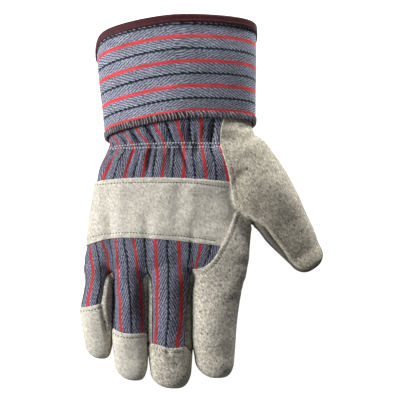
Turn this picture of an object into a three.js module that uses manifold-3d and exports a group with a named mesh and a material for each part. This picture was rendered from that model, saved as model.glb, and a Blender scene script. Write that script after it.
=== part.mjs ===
// A right-hand work glove with a leather palm and a safety cuff, lying palm down on a flat surface.
// Millimetres. +Z is up, away from the back of the hand. The fingers point to -Y, the cuff to +Y and the
// thumb to +X. The origin is on the flat resting face of the palm.
//
// The real glove is sewn from a striped canvas back and split leather. Here its hollow body is lofted once,
// then parted along the seams into the pieces that it is sewn from, each a solid wall of its own.

import * as THREE from "three";
import { mergeVertices } from "three/addons/utils/BufferGeometryUtils.js";
import Module from "manifold-3d";

const wasm = await Module();
wasm.setup();

// Driving dimensions

const LEATHER = 1.8; // wall of the split leather
const CANVAS_SINK = 0.7; // how far the canvas lies below the leather's face
const STRAP = 1.3; // wall of the knuckle strap
const STRAP_GAP = 0.3; // clearance between the knuckle strap and the canvas under it
const SEAM = 0.3; // open width of each seam
const SIDE_SEAM_Z = 10; // height of the seam between the back and the palm

const CUFF_WALL = 1.6; // doubled, stiffened canvas
const BINDING = 1.0; // wall of the tape that binds the rim
const BINDING_DEPTH = 7; // how far the tape reaches down the cuff

// The wrist elastic gathers the canvas back into folds, which run out on either side of it.
const GATHER = { y: 50, reach: 26, depth: 1.1, lowest: 20, right: 36 };

// The back sinks between the knuckles, over the webs of the fingers.
const KNUCKLE_DIP = { y: -40, reach: 45, halfWidth: 8, depth: 1.8, lowest: 20 };
const WEB_X = { pinkyRing: -44.1, ringMiddle: -17.8, middleIndex: 15.6 };

// Points round a section: over its top half, under it, and the rings of a rounded tip
const HAND_SIDES = { top: 32, base: 10 };
const CUFF_SIDES = { top: 20, base: 12 };
const DIGIT_SIDES = { top: 10, base: 8, tip: 3 };
const DIGIT_SIDES_INSIDE = { top: 7, base: 5, tip: 2 };

// The form of every section: superellipse powers of its top and base, and the level of its widest points
const TOP_ROUND = 2.25;
const BASE_ROUND = 3.0;
const WIDEST_LEVEL = 0.44;

// Sections of the outer face of the leather: where the left and right sides lie across X, and the heights
// of top and base. A base under zero is flattened against the surface. Each digit's first section is inside
// the hand, and its tip is a rounded end past the last one.

const HAND = [
  { y: 82, left: -47.5, right: 60.5, top: 49.5, base: 2.6 },
  { y: 66, left: -48.5, right: 61.5, top: 47.5, base: 2.6 },
  { y: 57, left: -47.8, right: 61.5, top: 43.5, base: 2.0 },
  { y: 50, left: -47.0, right: 61.5, top: 40.5, base: 1.4 },
  { y: 43, left: -49.0, right: 61.5, top: 41.5, base: 0.6 },
  { y: 34, left: -53.0, right: 61.5, top: 42.5, base: -0.2 },
  { y: 22, left: -58.0, right: 61.5, top: 42.0, base: -0.8 },
  { y: 0, left: -61.5, right: 60.0, top: 40.5, base: -0.8 },
  { y: -24, left: -63.5, right: 58.3, top: 37.0, base: -0.8 },
  { y: -38, left: -64.4, right: 57.0, top: 32.5, base: -0.8 },
  { y: -45, left: -62.0, right: 54.5, top: 27.0, base: -0.4 },
];

const PINKY = {
  tip: 13.5,
  rows: [
    { y: -28, left: -60.0, right: -46.5, top: 22.0, base: 3.0 },
    { y: -40, left: -64.6, right: -45.0, top: 26.8, base: -0.4 },
    { y: -50, left: -64.4, right: -44.8, top: 25.5, base: 0.2 },
    { y: -60, left: -65.8, right: -44.6, top: 24.5, base: 0.6 },
    { y: -72, left: -67.6, right: -44.6, top: 23.0, base: 0.2 },
    { y: -84, left: -67.0, right: -44.6, top: 21.0, base: -0.4 },
    { y: -95, left: -64.6, right: -44.8, top: 19.0, base: -0.6 },
  ],
};

const RING = {
  tip: 14,
  rows: [
    { y: -28, left: -40.0, right: -22.0, top: 28.0, base: 3.0 },
    { y: -46, left: -43.2, right: -19.4, top: 30.0, base: -0.2 },
    { y: -62, left: -43.4, right: -19.0, top: 28.5, base: 0.6 },
    { y: -80, left: -43.6, right: -18.4, top: 26.5, base: 0.4 },
    { y: -96, left: -43.4, right: -18.2, top: 24.0, base: -0.4 },
    { y: -110, left: -42.6, right: -18.2, top: 20.5, base: -0.6 },
  ],
};

const MIDDLE = {
  tip: 14,
  rows: [
    { y: -28, left: -13.5, right: 11.0, top: 30.0, base: 3.0 },
    { y: -46, left: -17.2, right: 14.6, top: 31.5, base: -0.2 },
    { y: -64, left: -17.0, right: 14.4, top: 29.5, base: 0.8 },
    { y: -84, left: -17.0, right: 14.8, top: 27.5, base: 0.6 },
    { y: -102, left: -16.8, right: 15.0, top: 25.0, base: -0.4 },
    { y: -116, left: -16.0, right: 14.4, top: 21.5, base: -0.6 },
  ],
};

const INDEX = {
  tip: 15,
  rows: [
    { y: -26, left: 24.0, right: 51.0, top: 29.0, base: 3.0 },
    { y: -42, left: 16.8, right: 56.0, top: 31.5, base: -0.2 },
    { y: -54, left: 16.4, right: 53.2, top: 29.5, base: 0.6 },
    { y: -66, left: 16.2, right: 50.8, top: 28.5, base: 0.8 },
    { y: -84, left: 16.0, right: 48.4, top: 27.0, base: 0.4 },
    { y: -98, left: 16.2, right: 47.4, top: 24.5, base: -0.4 },
    { y: -108, left: 17.2, right: 46.6, top: 21.5, base: -0.6 },
  ],
};

// The thumb has a frame of its own: its root, and how far its axis turns from -Y towards +X.
const THUMB_ROOT = { x: 50, y: 30 };
const THUMB_TURN = 35.1;
const THUMB = {
  tip: 13.5,
  rows: [
    { y: 20, left: -14.0, right: 25.0, top: 34.0, base: 5.0 },
    { y: 12, left: -20.0, right: 29.0, top: 38.0, base: 1.8 },
    { y: -2, left: -20.0, right: 29.4, top: 38.0, base: 1.2 },
    { y: -14, left: -19.0, right: 29.2, top: 37.0, base: 1.0 },
    { y: -28, left: -16.0, right: 28.0, top: 35.0, base: 1.0 },
    { y: -40, left: -13.2, right: 26.0, top: 33.0, base: 0.8 },
    { y: -54, left: -12.4, right: 23.4, top: 30.0, base: 0.4 },
    { y: -68, left: -10.2, right: 20.9, top: 27.0, base: -0.2 },
    { y: -79, left: -7.8, right: 18.9, top: 24.0, base: -0.6 },
  ],
};

// The cuff stands on the wrist. Each section is turned about Z and leans outwards at its top.
const CUFF = [
  { x: 6.2, y: 62.4, half: 57.4, top: 49.5, base: 0.4, turn: 4.5, lean: 7 },
  { x: 5.3, y: 80, half: 58.6, top: 54, base: -0.6, turn: 5.2, lean: 9 },
  { x: 4.2, y: 103, half: 60.2, top: 59.5, base: -0.6, turn: 6.4, lean: 12 },
  { x: 3.0, y: 129, half: 60.6, top: 63, base: 1.2, turn: 8, lean: 15 },
];

// Seams, as points [x, y] seen from above. The raw edge of the leather runs down beside the canvas from the
// cuff to the web of the index finger, and its corner is where the thumb's leather meets that finger's.
const RAW_EDGE = [
  [38.4, 95], [38.4, 68], [36, 56], [36.6, 45], [41, 30], [43.6, 18], [45.2, 7], [47.6, -1],
  [43.6, -12], [40.8, -20], [37, -27], [32, -36], [27, -41.2], [21, -44], [15.6, -45],
];
const RAW_EDGE_CORNER = 7;
const THUMB_SEAM = [[47.6, -1], [52.5, -2.5], [56.6, -4.4], [59.6, -8]];
const THUMB_GAP = [[61, -40], [70, -140]];
const PINKY_SEAM = [[-44.1, -44], [-48.5, -43.5], [-51.4, -47], [-51.4, -56], [-53.2, -69]];
const PINKY_CAP = [[-53.2, -69], [-60, -71], [-80, -69]];
const PINKY_CAP_SIDE = [[-53.2, -69], [-51.8, -77], [-49.6, -87], [-47.4, -96], [-47, -120]];
const RING_SEAM = [
  [-17.8, -45], [-21.5, -45.5], [-22.8, -51], [-21, -60], [-19.4, -76], [-19.4, -90], [-17.8, -90],
];
const RING_CAP = [[-44.1, -86.5], [-38, -90], [-30, -91.5], [-24, -91], [-19.4, -90]];
const MIDDLE_LEFT = [[-17.8, -45], [-15.9, -50], [-15.9, -97.5], [-17.8, -97.5]];
const MIDDLE_CAP = [[-15.9, -97.5], [-9, -99.6], [-2, -102], [4, -102], [10.6, -100.5]];
const MIDDLE_RIGHT = [[15.6, -45], [13.8, -60], [12, -76], [10.8, -90], [10.6, -100.5], [15.6, -104]];

const INDEX_BASE_Y = -46; // the seam across the palm side of the index finger
const THUMB_BASE = 34; // how far down the thumb's axis its palm-side piece begins
const THUMB_SPLIT = { z: 13.4, slope: 0.22 }; // its side seam: the height on the axis, and the fall across it

// The knuckle strap's two edges, from the side seam to the raw edge
const STRAP_TOP = [[-80, 21.2], [-55, 22], [-8, 22], [20, 21], [50, 19]];
const STRAP_BOTTOM = [[-80, -27], [-60, -24.5], [-48, -22], [-23, -22.2], [0, -24], [20, -26], [50, -29.5]];

// Places clear of the glove, for the blocks that cut it
const LEFT = -80;
const RIGHT = 150;
const CUFF_END = 95;
const FAR = 140;
const SKY = 120;
const UNDER = -10;

// Solids

function solid(geometry) {
  const bare = geometry.clone();
  for (const name of Object.keys(bare.attributes)) {
    if (name !== "position") bare.deleteAttribute(name);
  }
  const merged = mergeVertices(bare, 1e-4);
  return new wasm.Manifold(
    new wasm.Mesh({
      numProp: 3,
      vertProperties: Float32Array.from(merged.attributes.position.array),
      triVerts: Uint32Array.from(merged.index.array),
    }),
  );
}

const joined = (solids) => solids.reduce((sum, part) => sum.add(part));

// A closed skin through rings that hold the same number of points and follow each other towards -Y
function loft(rings) {
  const sides = rings[0].length;
  const positions = rings.flat(2);
  const index = [];
  for (let r = 0; r + 1 < rings.length; r++) {
    for (let k = 0; k < sides; k++) {
      const a = r * sides + k;
      const b = r * sides + ((k + 1) % sides);
      index.push(a, b, b + sides, a, b + sides, a + sides);
    }
  }
  const ends = [
    { ring: rings[0], first: 0, flip: true },
    { ring: rings.at(-1), first: (rings.length - 1) * sides, flip: false },
  ];
  for (const { ring, first, flip } of ends) {
    const middle = positions.length / 3;
    positions.push(...[0, 1, 2].map((axis) => ring.reduce((sum, point) => sum + point[axis], 0) / sides));
    for (let k = 0; k < sides; k++) {
      const a = first + k;
      const b = first + ((k + 1) % sides);
      index.push(...(flip ? [b, a, middle] : [a, b, middle]));
    }
  }
  const geometry = new THREE.BufferGeometry();
  geometry.setAttribute("position", new THREE.Float32BufferAttribute(positions, 3));
  geometry.setIndex(index);
  return solid(geometry);
}

// Points [x, z] round a section with a fuller base than top
function section(halfWidth, top, base, sides) {
  const middle = base + WIDEST_LEVEL * (top - base);
  return Array.from({ length: sides.top + sides.base }, (_, k) => {
    const onTop = k < sides.top;
    const angle = Math.PI * (onTop ? k / sides.top : 1 + (k - sides.top) / sides.base);
    const power = 2 / (onTop ? TOP_ROUND : BASE_ROUND);
    const height = onTop ? top - middle : middle - base;
    const [c, s] = [Math.cos(angle), Math.sin(angle)];
    return [
      halfWidth * Math.sign(c) * Math.abs(c) ** power,
      middle + height * Math.sign(s) * Math.abs(s) ** power,
    ];
  });
}

// One ring of a hand or digit section, grown outwards
function ring(row, sides, grow) {
  const centre = (row.left + row.right) / 2;
  const half = (row.right - row.left) / 2 + grow;
  return section(half, row.top + grow, row.base - grow, sides).map(([x, z]) => [centre + x, row.y, z]);
}

// The rounded tip of a digit: rings that shrink as a cosine does, and rise a little off the surface
const TIP_FULLNESS = 0.8;
const TIP_RISE = 0.28;
const TIP_END = 0.35;
function tipRings({ rows, tip }, sides, grow) {
  const { left, right, top, base, y } = rows.at(-1);
  return Array.from({ length: sides.tip }, (_, i) => {
    const turn = ((i + 1) / (sides.tip + TIP_END)) * (Math.PI / 2);
    const share = Math.cos(turn) ** TIP_FULLNESS;
    const low = base + (top - base) * TIP_RISE * (1 - share);
    const half = ((right - left) / 2 + grow) * share;
    const high = low + (top - base) * share + grow;
    const centre = (left + right) / 2;
    const reach = y - (tip + grow) * Math.sin(turn);
    return section(half, high, low - grow * share, sides).map(([x, z]) => [centre + x, reach, z]);
  });
}

// A finger or the thumb. Inside the leather its facets are coarser.
function digit(shape, grow) {
  const sides = grow <= -LEATHER ? DIGIT_SIDES_INSIDE : DIGIT_SIDES;
  return loft([...shape.rows.map((row) => ring(row, sides, grow)), ...tipRings(shape, sides, grow)]);
}

const thumb = (grow) =>
  digit(THUMB, grow).rotate([0, 0, THUMB_TURN]).translate([THUMB_ROOT.x, THUMB_ROOT.y, 0]);

const fade = (distance, reach) => Math.max(0, 1 - Math.abs(distance) / reach);

// Over the elastic, every other line of points on the canvas back lies lower.
function gathered(points) {
  return points.map(([x, y, z], k) => {
    const onBack = z > GATHER.lowest && x < GATHER.right;
    const lift = (k % 2 ? -1 : 1) * GATHER.depth * fade(y - GATHER.y, GATHER.reach);
    return [x, y, onBack ? z + lift : z];
  });
}

function dippedAtWebs(points) {
  return points.map(([x, y, z]) => {
    const nearest = Math.min(...Object.values(WEB_X).map((web) => Math.abs(x - web)));
    const share = fade(nearest, KNUCKLE_DIP.halfWidth) * fade(y - KNUCKLE_DIP.y, KNUCKLE_DIP.reach);
    return [x, y, z > KNUCKLE_DIP.lowest ? z - KNUCKLE_DIP.depth * share : z];
  });
}

// The hand, grown outwards, and at its cuff end lengthened by a reach
function hand(grow, reach = 0) {
  const ends = { 0: reach, [HAND.length - 1]: -grow };
  const rows = HAND.map((row, i) => ({ ...row, y: row.y + (ends[i] ?? 0) }));
  return loft(rows.map((row) => dippedAtWebs(gathered(ring(row, HAND_SIDES, grow)))));
}

function above(level, shape) {
  const block = solid(new THREE.BoxGeometry(3 * FAR, 3 * FAR, FAR));
  return shape.intersect(block.translate([0, 0, level + FAR / 2]));
}

// The whole glove without its cuff, grown outwards, flattened at the given height
function body(grow, floor, reach = 0) {
  const fingers = [PINKY, RING, MIDDLE, INDEX].map((shape) => digit(shape, grow));
  return above(floor, joined([hand(grow, reach), thumb(grow), ...fingers]));
}

// An upright block over an outline seen from above
function prism(outline, low = UNDER, high = SKY) {
  const shape = new THREE.Shape(outline.map(([x, y]) => new THREE.Vector2(x, y)));
  const geometry = new THREE.ExtrudeGeometry(shape, { depth: high - low, bevelEnabled: false });
  return solid(geometry.translate(0, 0, low));
}

// An upright sheet along a line, as wide as a seam
function slit(line, low = UNDER, high = SKY) {
  const side = (sign) =>
    line.map((point, i) => {
      const before = line[Math.max(0, i - 1)];
      const after = line[Math.min(line.length - 1, i + 1)];
      const [dx, dy] = [after[0] - before[0], after[1] - before[1]];
      const half = (sign * SEAM) / 2 / Math.hypot(dx, dy);
      return [point[0] - half * dy, point[1] + half * dx];
    });
  return prism([...side(1), ...side(-1).reverse()], low, high);
}

// A point seen from above, given along and across the thumb
function onThumb(along, across) {
  const turn = THREE.MathUtils.degToRad(THUMB_TURN);
  return [
    THUMB_ROOT.x + along * Math.sin(turn) + across * Math.cos(turn),
    THUMB_ROOT.y - along * Math.cos(turn) + across * Math.sin(turn),
  ];
}

// The space over the thumb's sloping side seam where the sign is 1, and under it where it is -1
function besideThumbSplit(sign) {
  const block = solid(new THREE.BoxGeometry(3 * FAR, 3 * FAR, FAR));
  const tilt = THREE.MathUtils.radToDeg(Math.atan(THUMB_SPLIT.slope));
  return block
    .translate([0, 0, (sign * (FAR + SEAM)) / 2])
    .rotate([0, tilt, 0])
    .rotate([0, 0, THUMB_TURN])
    .translate([THUMB_ROOT.x, THUMB_ROOT.y, THUMB_SPLIT.z]);
}

// Outlines of the pieces, seen from above

const upper = SIDE_SEAM_Z + SEAM / 2;
const lower = SIDE_SEAM_Z - SEAM / 2;
const reversed = (line) => [...line].reverse();

const canvasOutline = [
  [LEFT, CUFF_END],
  ...RAW_EDGE,
  ...MIDDLE_RIGHT.slice(1, -1),
  ...reversed(MIDDLE_CAP).slice(1),
  ...reversed(MIDDLE_LEFT).slice(2),
  ...RING_SEAM.slice(1, -1),
  ...reversed(RING_CAP).slice(1),
  ...PINKY_SEAM,
  ...PINKY_CAP.slice(1),
];
const pinkyCapOutline = [...reversed(PINKY_CAP), ...PINKY_CAP_SIDE.slice(1), [LEFT, -FAR]];
const ringCapOutline = [
  ...RING_CAP,
  [WEB_X.ringMiddle, -90],
  [WEB_X.ringMiddle, -FAR],
  [WEB_X.pinkyRing, -FAR],
];
const middleCapOutline = [
  [WEB_X.ringMiddle, -97.5],
  ...MIDDLE_CAP,
  [WEB_X.middleIndex, -104],
  [WEB_X.middleIndex, -FAR],
  [WEB_X.ringMiddle, -FAR],
];
const indexOutline = [
  ...RAW_EDGE.slice(RAW_EDGE_CORNER),
  [WEB_X.middleIndex, -FAR],
  ...reversed(THUMB_GAP),
  ...reversed(THUMB_SEAM).slice(0, -1),
];
const thumbOutline = [
  ...RAW_EDGE.slice(0, RAW_EDGE_CORNER),
  ...THUMB_SEAM,
  ...THUMB_GAP,
  [RIGHT, -FAR],
  [RIGHT, CUFF_END],
];

const fingerSeams = [MIDDLE_RIGHT, MIDDLE_LEFT, RING_SEAM, PINKY_SEAM, PINKY_CAP_SIDE];
const backSeams = [RAW_EDGE, THUMB_SEAM, PINKY_CAP, RING_CAP, MIDDLE_CAP, ...fingerSeams];
const seams = joined(backSeams.map((line) => slit(line)));

// The walls: leather, and the thinner canvas inside it. The hollow runs on past the open wrist.

const HOLLOW_REACH = 8;
const cavity = body(-LEATHER, LEATHER, HOLLOW_REACH);
const leather = body(0, 0).subtract(cavity);
const canvas = body(-CANVAS_SINK, CANVAS_SINK).subtract(cavity);

// The back, and the leather caps of three fingertips

const onBack = (wall, outline) => wall.intersect(prism(outline, upper).subtract(seams));
const backPanel = onBack(canvas, canvasOutline);
const pinkyCap = onBack(leather, pinkyCapOutline);
const ringCap = onBack(leather, ringCapOutline);
const middleCap = onBack(leather, middleCapOutline);

// One piece of leather wraps all round the index finger, and covers the back of the hand beside it.

const pastIndexBase = prism([[-FAR, INDEX_BASE_Y], [-FAR, -FAR], [FAR, -FAR], [FAR, INDEX_BASE_Y]]);
const indexTube = prism(indexOutline).intersect(pastIndexBase);
const indexBack = prism(indexOutline, upper);
const indexFinger = leather.intersect(indexTube.add(indexBack).subtract(seams));

// The thumb's back, and the front piece of its outer half

const thumbArea = prism(thumbOutline);
const thumbBaseLine = [onThumb(THUMB_BASE, -FAR / 2), onThumb(THUMB_BASE, FAR / 2)];
const pastThumbBase = prism([...thumbBaseLine, onThumb(FAR, FAR / 2), onThumb(FAR, -FAR / 2)]);
const thumbFrontArea = thumbArea.intersect(pastThumbBase);
const thumbBaseSlit = slit(thumbBaseLine).intersect(thumbArea);
const thumbBack = leather.intersect(thumbArea.intersect(besideThumbSplit(1)).subtract(seams));
const thumbFront = leather.intersect(thumbFrontArea.intersect(besideThumbSplit(-1)).subtract(thumbBaseSlit));

// The palm, with the fronts of three fingers, is what the other pieces leave of the leather.

const besidePalm = joined([
  ...[canvasOutline, pinkyCapOutline, ringCapOutline, middleCapOutline, indexOutline].map((outline) =>
    prism(outline, lower),
  ),
  ...[RAW_EDGE.slice(RAW_EDGE_CORNER), ...fingerSeams].map((line) => slit(line, lower)),
  indexTube,
  slit([[WEB_X.ringMiddle / 2, INDEX_BASE_Y], [FAR / 2, INDEX_BASE_Y]], UNDER, lower),
  thumbArea.subtract(besideThumbSplit(-1)),
  thumbFrontArea,
  thumbBaseSlit,
]);
const palm = leather.subtract(besidePalm);

// The knuckle strap lies over the canvas, from the side seam to the raw edge.

const strapInner = STRAP_GAP - CANVAS_SINK;
const strapOutline = [...STRAP_TOP, ...reversed(STRAP_BOTTOM)];
const strap = hand(strapInner + STRAP)
  .subtract(hand(strapInner))
  .intersect(prism(strapOutline, upper))
  .intersect(prism(canvasOutline).subtract(slit(RAW_EDGE)));

// The cuff

function cuffRing(row, grow) {
  const turn = THREE.MathUtils.degToRad(row.turn);
  const lean = Math.tan(THREE.MathUtils.degToRad(row.lean));
  const middle = (row.top + row.base) / 2;
  return section(row.half + grow, row.top + grow, row.base - grow, CUFF_SIDES).map(([x, z]) => {
    const along = lean * (z - middle);
    return [
      row.x + x * Math.cos(turn) - along * Math.sin(turn),
      row.y + x * Math.sin(turn) + along * Math.cos(turn),
      z,
    ];
  });
}

const cuffLoft = (rows, grow) => loft(reversed(rows).map((row) => cuffRing(row, grow)));

// The cuff's section at a distance past its rim, or before it where the distance is negative
function pastRim(distance) {
  const [before, rim] = CUFF.slice(-2);
  const share = distance / (rim.y - before.y);
  const entries = Object.keys(rim).map((key) => [key, rim[key] + share * (rim[key] - before[key])]);
  return Object.fromEntries(entries);
}

const OVERSHOOT = 12; // how far a hollow runs on past the end that it opens
const hem = CUFF[0];
const cuffHollow = cuffLoft([{ ...hem, y: hem.y - OVERSHOOT }, ...CUFF, pastRim(OVERSHOOT)], -CUFF_WALL);
const cuffShell = above(0, cuffLoft(CUFF, 0)).subtract(above(CUFF_WALL, cuffHollow));
const cuff = cuffShell.subtract(hand(SEAM));

// The binding is a tape folded over the rim, so it has a slot that the cuff's edge fills.

const fold = SEAM + BINDING;
const tapeOuter = cuffLoft([pastRim(-BINDING_DEPTH), pastRim(fold)], fold);
const tapeHollow = cuffLoft([pastRim(-2 * BINDING_DEPTH), pastRim(OVERSHOOT)], -CUFF_WALL - fold);
const slotOuter = cuffLoft([pastRim(-2 * BINDING_DEPTH), pastRim(SEAM)], SEAM);
const slotInner = cuffLoft([pastRim(-3 * BINDING_DEPTH), pastRim(OVERSHOOT)], -CUFF_WALL - SEAM);
const binding = above(0, tapeOuter).subtract(tapeHollow).subtract(slotOuter.subtract(slotInner));

// The assembly

const suede = { color: 0xb5b1a4, roughness: 0.95 };
const stripedCanvas = { color: 0x6c7490, roughness: 0.9 };
const cuffCanvas = { color: 0x848ca6, roughness: 0.9 };
const tape = { color: 0x4a252b, roughness: 0.6 };

const pieces = [
  ["back_panel", backPanel, stripedCanvas],
  ["palm", palm, suede],
  ["index_finger", indexFinger, suede],
  ["thumb_back", thumbBack, suede],
  ["thumb_front", thumbFront, suede],
  ["knuckle_strap", strap, suede],
  ["pinky_cap", pinkyCap, suede],
  ["ring_cap", ringCap, suede],
  ["middle_cap", middleCap, suede],
  ["cuff", cuff, cuffCanvas],
  ["cuff_binding", binding, tape],
];

const glove = new THREE.Group();

for (const [name, made, look] of pieces) {
  const { vertProperties, triVerts } = made.getMesh();
  const geometry = new THREE.BufferGeometry();
  geometry.setAttribute("position", new THREE.BufferAttribute(Float32Array.from(vertProperties), 3));
  geometry.setIndex(new THREE.BufferAttribute(Uint32Array.from(triVerts), 1));
  const mesh = new THREE.Mesh(geometry, new THREE.MeshStandardMaterial({ ...look, metalness: 0 }));
  mesh.name = name;
  glove.add(mesh);
}

export default glove;
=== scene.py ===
import functools
import math
from collections import namedtuple

import bpy
import numpy as np
from bpy.props import FloatProperty, FloatVectorProperty, PointerProperty
from bpy.types import Operator, Panel, PropertyGroup
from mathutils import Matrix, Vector
from mathutils.bvhtree import BVHTree
from mathutils.kdtree import KDTree


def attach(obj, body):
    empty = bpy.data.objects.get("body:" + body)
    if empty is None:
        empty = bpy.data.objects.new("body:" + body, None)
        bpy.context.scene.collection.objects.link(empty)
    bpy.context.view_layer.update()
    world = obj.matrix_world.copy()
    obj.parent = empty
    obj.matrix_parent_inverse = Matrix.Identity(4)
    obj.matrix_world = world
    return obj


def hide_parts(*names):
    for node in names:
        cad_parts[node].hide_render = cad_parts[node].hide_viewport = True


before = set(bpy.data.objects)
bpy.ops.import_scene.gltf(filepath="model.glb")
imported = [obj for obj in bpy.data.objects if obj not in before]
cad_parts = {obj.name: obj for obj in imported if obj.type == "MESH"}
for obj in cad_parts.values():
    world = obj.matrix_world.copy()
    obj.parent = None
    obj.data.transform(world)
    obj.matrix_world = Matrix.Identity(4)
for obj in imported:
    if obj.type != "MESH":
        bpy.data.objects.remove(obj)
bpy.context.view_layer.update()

bl_info = {
    "name": "Leather Work Glove",
    "version": (1, 0, 0),
    "blender": (4, 5, 0),
    "location": "View3D > Sidebar > Glove",
    "description": "Sews the leather and canvas of a work glove over its frame",
    "category": "Object",
}

MM = 0.001  # everything below is in millimetres, and a mesh is made in metres

# The hand's and digits' sections: y, left and right sides, and the heights of top and base. They are those of
# the frame's solids. A digit's first section is inside the hand, and its tip is rounded past the last one.
# Their forms: y, superellipse powers of the top's left and right half, how much each half slopes like a roof,
# and how much lower the top lies at its right than at its left

Digit = namedtuple("Digit", "tip aside skew apart rows forms")
ROUND = (2.1, 2.1, 0.22, 0.22, 0)
FLATTER = (2.7, 2.7, 0.1, 0.1, 0)

HAND = (
    (-49, -62.5, 53.5, 25.5, -0.4),
    (-38, -66.0, 57.0, 34.4, -0.8),
    (-24, -64.0, 58.3, 38.0, -0.8),
    (0, -61.5, 60.0, 40.5, -0.8),
    (22, -58.0, 61.5, 42.0, -0.8),
    (34, -55.0, 61.5, 42.5, -0.2),
    (43, -51.4, 62.5, 41.5, 0.6),
    (50, -48.4, 63.4, 40.5, 1.4),
    (57, -48.8, 62.2, 43.2, 2.0),
    (66, -48.8, 60.4, 45.5, 2.6),
    (84, -47.5, 56.5, 47.0, 2.6),
)
HAND_FORMS = (
    (-49, 2.1, 7, 0.22, 0.1, 0),
    (-28, 2.1, 7, 0.22, 0.24, 0),
    (-10, 2.1, 6, 0.22, 0.5, 0),
    (8, 2.1, 6, 0.22, 0.5, 0),
    (28, 2.5, 5, 0.08, 0.1, 0),
    (47, 2.5, 4.5, 0.08, 0.1, 0),
    (57, 2.2, 3.6, 0.2, 0.28, 0),
    (66, 2.1, 2.6, 0.22, 0.4, 0),
    (72, 2.1, 2.1, 0.22, 0.55, 0),
)
PINKY = Digit(
    tip=13.5,
    aside=1.5,
    skew=0.2,
    apart=-4.5,
    rows=(
        (-95, -65.0, -44.4, 19.0, -0.6),
        (-84, -67.2, -43.9, 21.0, -0.4),
        (-72, -68.6, -43.7, 23.0, 0.2),
        (-60, -66.7, -43.7, 24.5, 0.6),
        (-50, -65.3, -43.7, 25.5, 0.2),
        (-40, -66.6, -45.0, 26.8, -0.4),
        (-28, -60.0, -46.5, 22.0, 3.0),
    ),
    forms=((-92, *FLATTER), (-72, 2.1, 3.4, 0.22, 0.04, 0)),
)
RING = Digit(
    tip=14.7,
    aside=1.5,
    skew=0.25,
    apart=-1.5,
    rows=(
        (-110, -42.6, -17.9, 20.5, -0.6),
        (-96, -43.9, -17.5, 24.0, -0.4),
        (-80, -44.5, -17.4, 26.5, 0.4),
        (-62, -44.6, -17.4, 28.5, 0.6),
        (-46, -44.6, -17.4, 30.0, -0.2),
        (-28, -40.0, -22.0, 28.0, 3.0),
    ),
    forms=(
        (-107, 2.7, 3.4, 0.1, 0.04, 0),
        (-86, 2.3, 2.3, 0.15, 0.15, 0),
        (-64, *ROUND),
        (-46, 2.6, 3, 0.1, 0.1, 0),
    ),
)
MIDDLE = Digit(
    tip=14.5,
    aside=1.6,
    skew=0.1,
    apart=1.5,
    rows=(
        (-116, -16.0, 14.6, 21.5, -0.6),
        (-102, -17.8, 15.6, 25.0, -0.4),
        (-84, -18.2, 16.0, 27.5, 0.6),
        (-64, -18.2, 16.1, 29.9, 0.8),
        (-46, -18.2, 16.1, 32.6, -0.2),
        (-28, -13.5, 11.0, 30.0, 3.0),
    ),
    forms=(
        (-113, *FLATTER),
        (-92, 2.1, 1.9, 0.22, 0.36, 0),
        (-64, 2.1, 1.9, 0.22, 0.36, 0),
        (-46, 2.6, 4, 0.1, 0.1, 0),
    ),
)
INDEX = Digit(
    tip=15,
    aside=0,
    skew=0.3,
    apart=4.5,
    rows=(
        (-108, 17.2, 46.6, 21.5, -0.6),
        (-98, 15.4, 47.4, 24.5, -0.4),
        (-84, 15.2, 48.4, 27.0, 0.4),
        (-66, 15.1, 50.8, 28.5, 0.8),
        (-54, 15.1, 53.2, 29.5, 0.6),
        (-42, 15.4, 56.0, 31.5, -0.2),
        (-26, 24.0, 51.0, 29.0, 3.0),
    ),
    forms=(
        (-105, *FLATTER),
        (-86, 2.7, 2.3, 0.2, 0.2, 0),
        (-66, 2.8, 2.4, 0.2, 0.15, 0),
        (-48, 3, 7, 0.1, 0.05, 0.1),
    ),
)
THUMB = Digit(
    tip=12,
    aside=0,
    skew=0,
    apart=0,
    rows=(
        (-79, -7.2, 19.4, 17.8, -0.6),
        (-68, -9.6, 22.3, 22.0, -0.2),
        (-54, -12.4, 24.8, 27.0, 0.4),
        (-40, -13.4, 27.6, 31.8, 0.8),
        (-28, -18.6, 29.4, 35.6, 1.0),
        (-14, -24.0, 30.5, 37.6, 1.0),
        (-2, -25.0, 30.4, 38.0, 1.2),
        (12, -22.0, 29.3, 38.0, 1.8),
        (20, -14.0, 25.0, 34.0, 5.0),
    ),
    forms=(
        (-70, 4.5, 3, 0, 0.1, 0.24),
        (-45, 5.0, 2.8, 0, 0.1, 0.24),
        (-20, 3.0, 2.6, 0.1, 0.1, 0.16),
        (0, 2.4, 2.4, 0.1, 0.1, 0),
    ),
)
THUMB_ROOT = (50, 30)
THUMB_TURN = math.radians(35.1)

RIDGE = 0.25  # half width of the roof's rounded ridge
CUFF_ROOFS = (0.32, 0.47)  # how much the cuff's top slopes to its left and to its right
BASE_ROUND = 3.0  # superellipse power of every base
WIDEST_LEVEL = 0.44
TIP_FULLNESS = 0.8  # as the power of a cosine, for its width and then its height
TIP_THICKNESS = 0.32
TIP_RISE = 0.28
TIP_LEAN_POWER = 4  # of a sine, so that a tip leans aside only near its end

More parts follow.
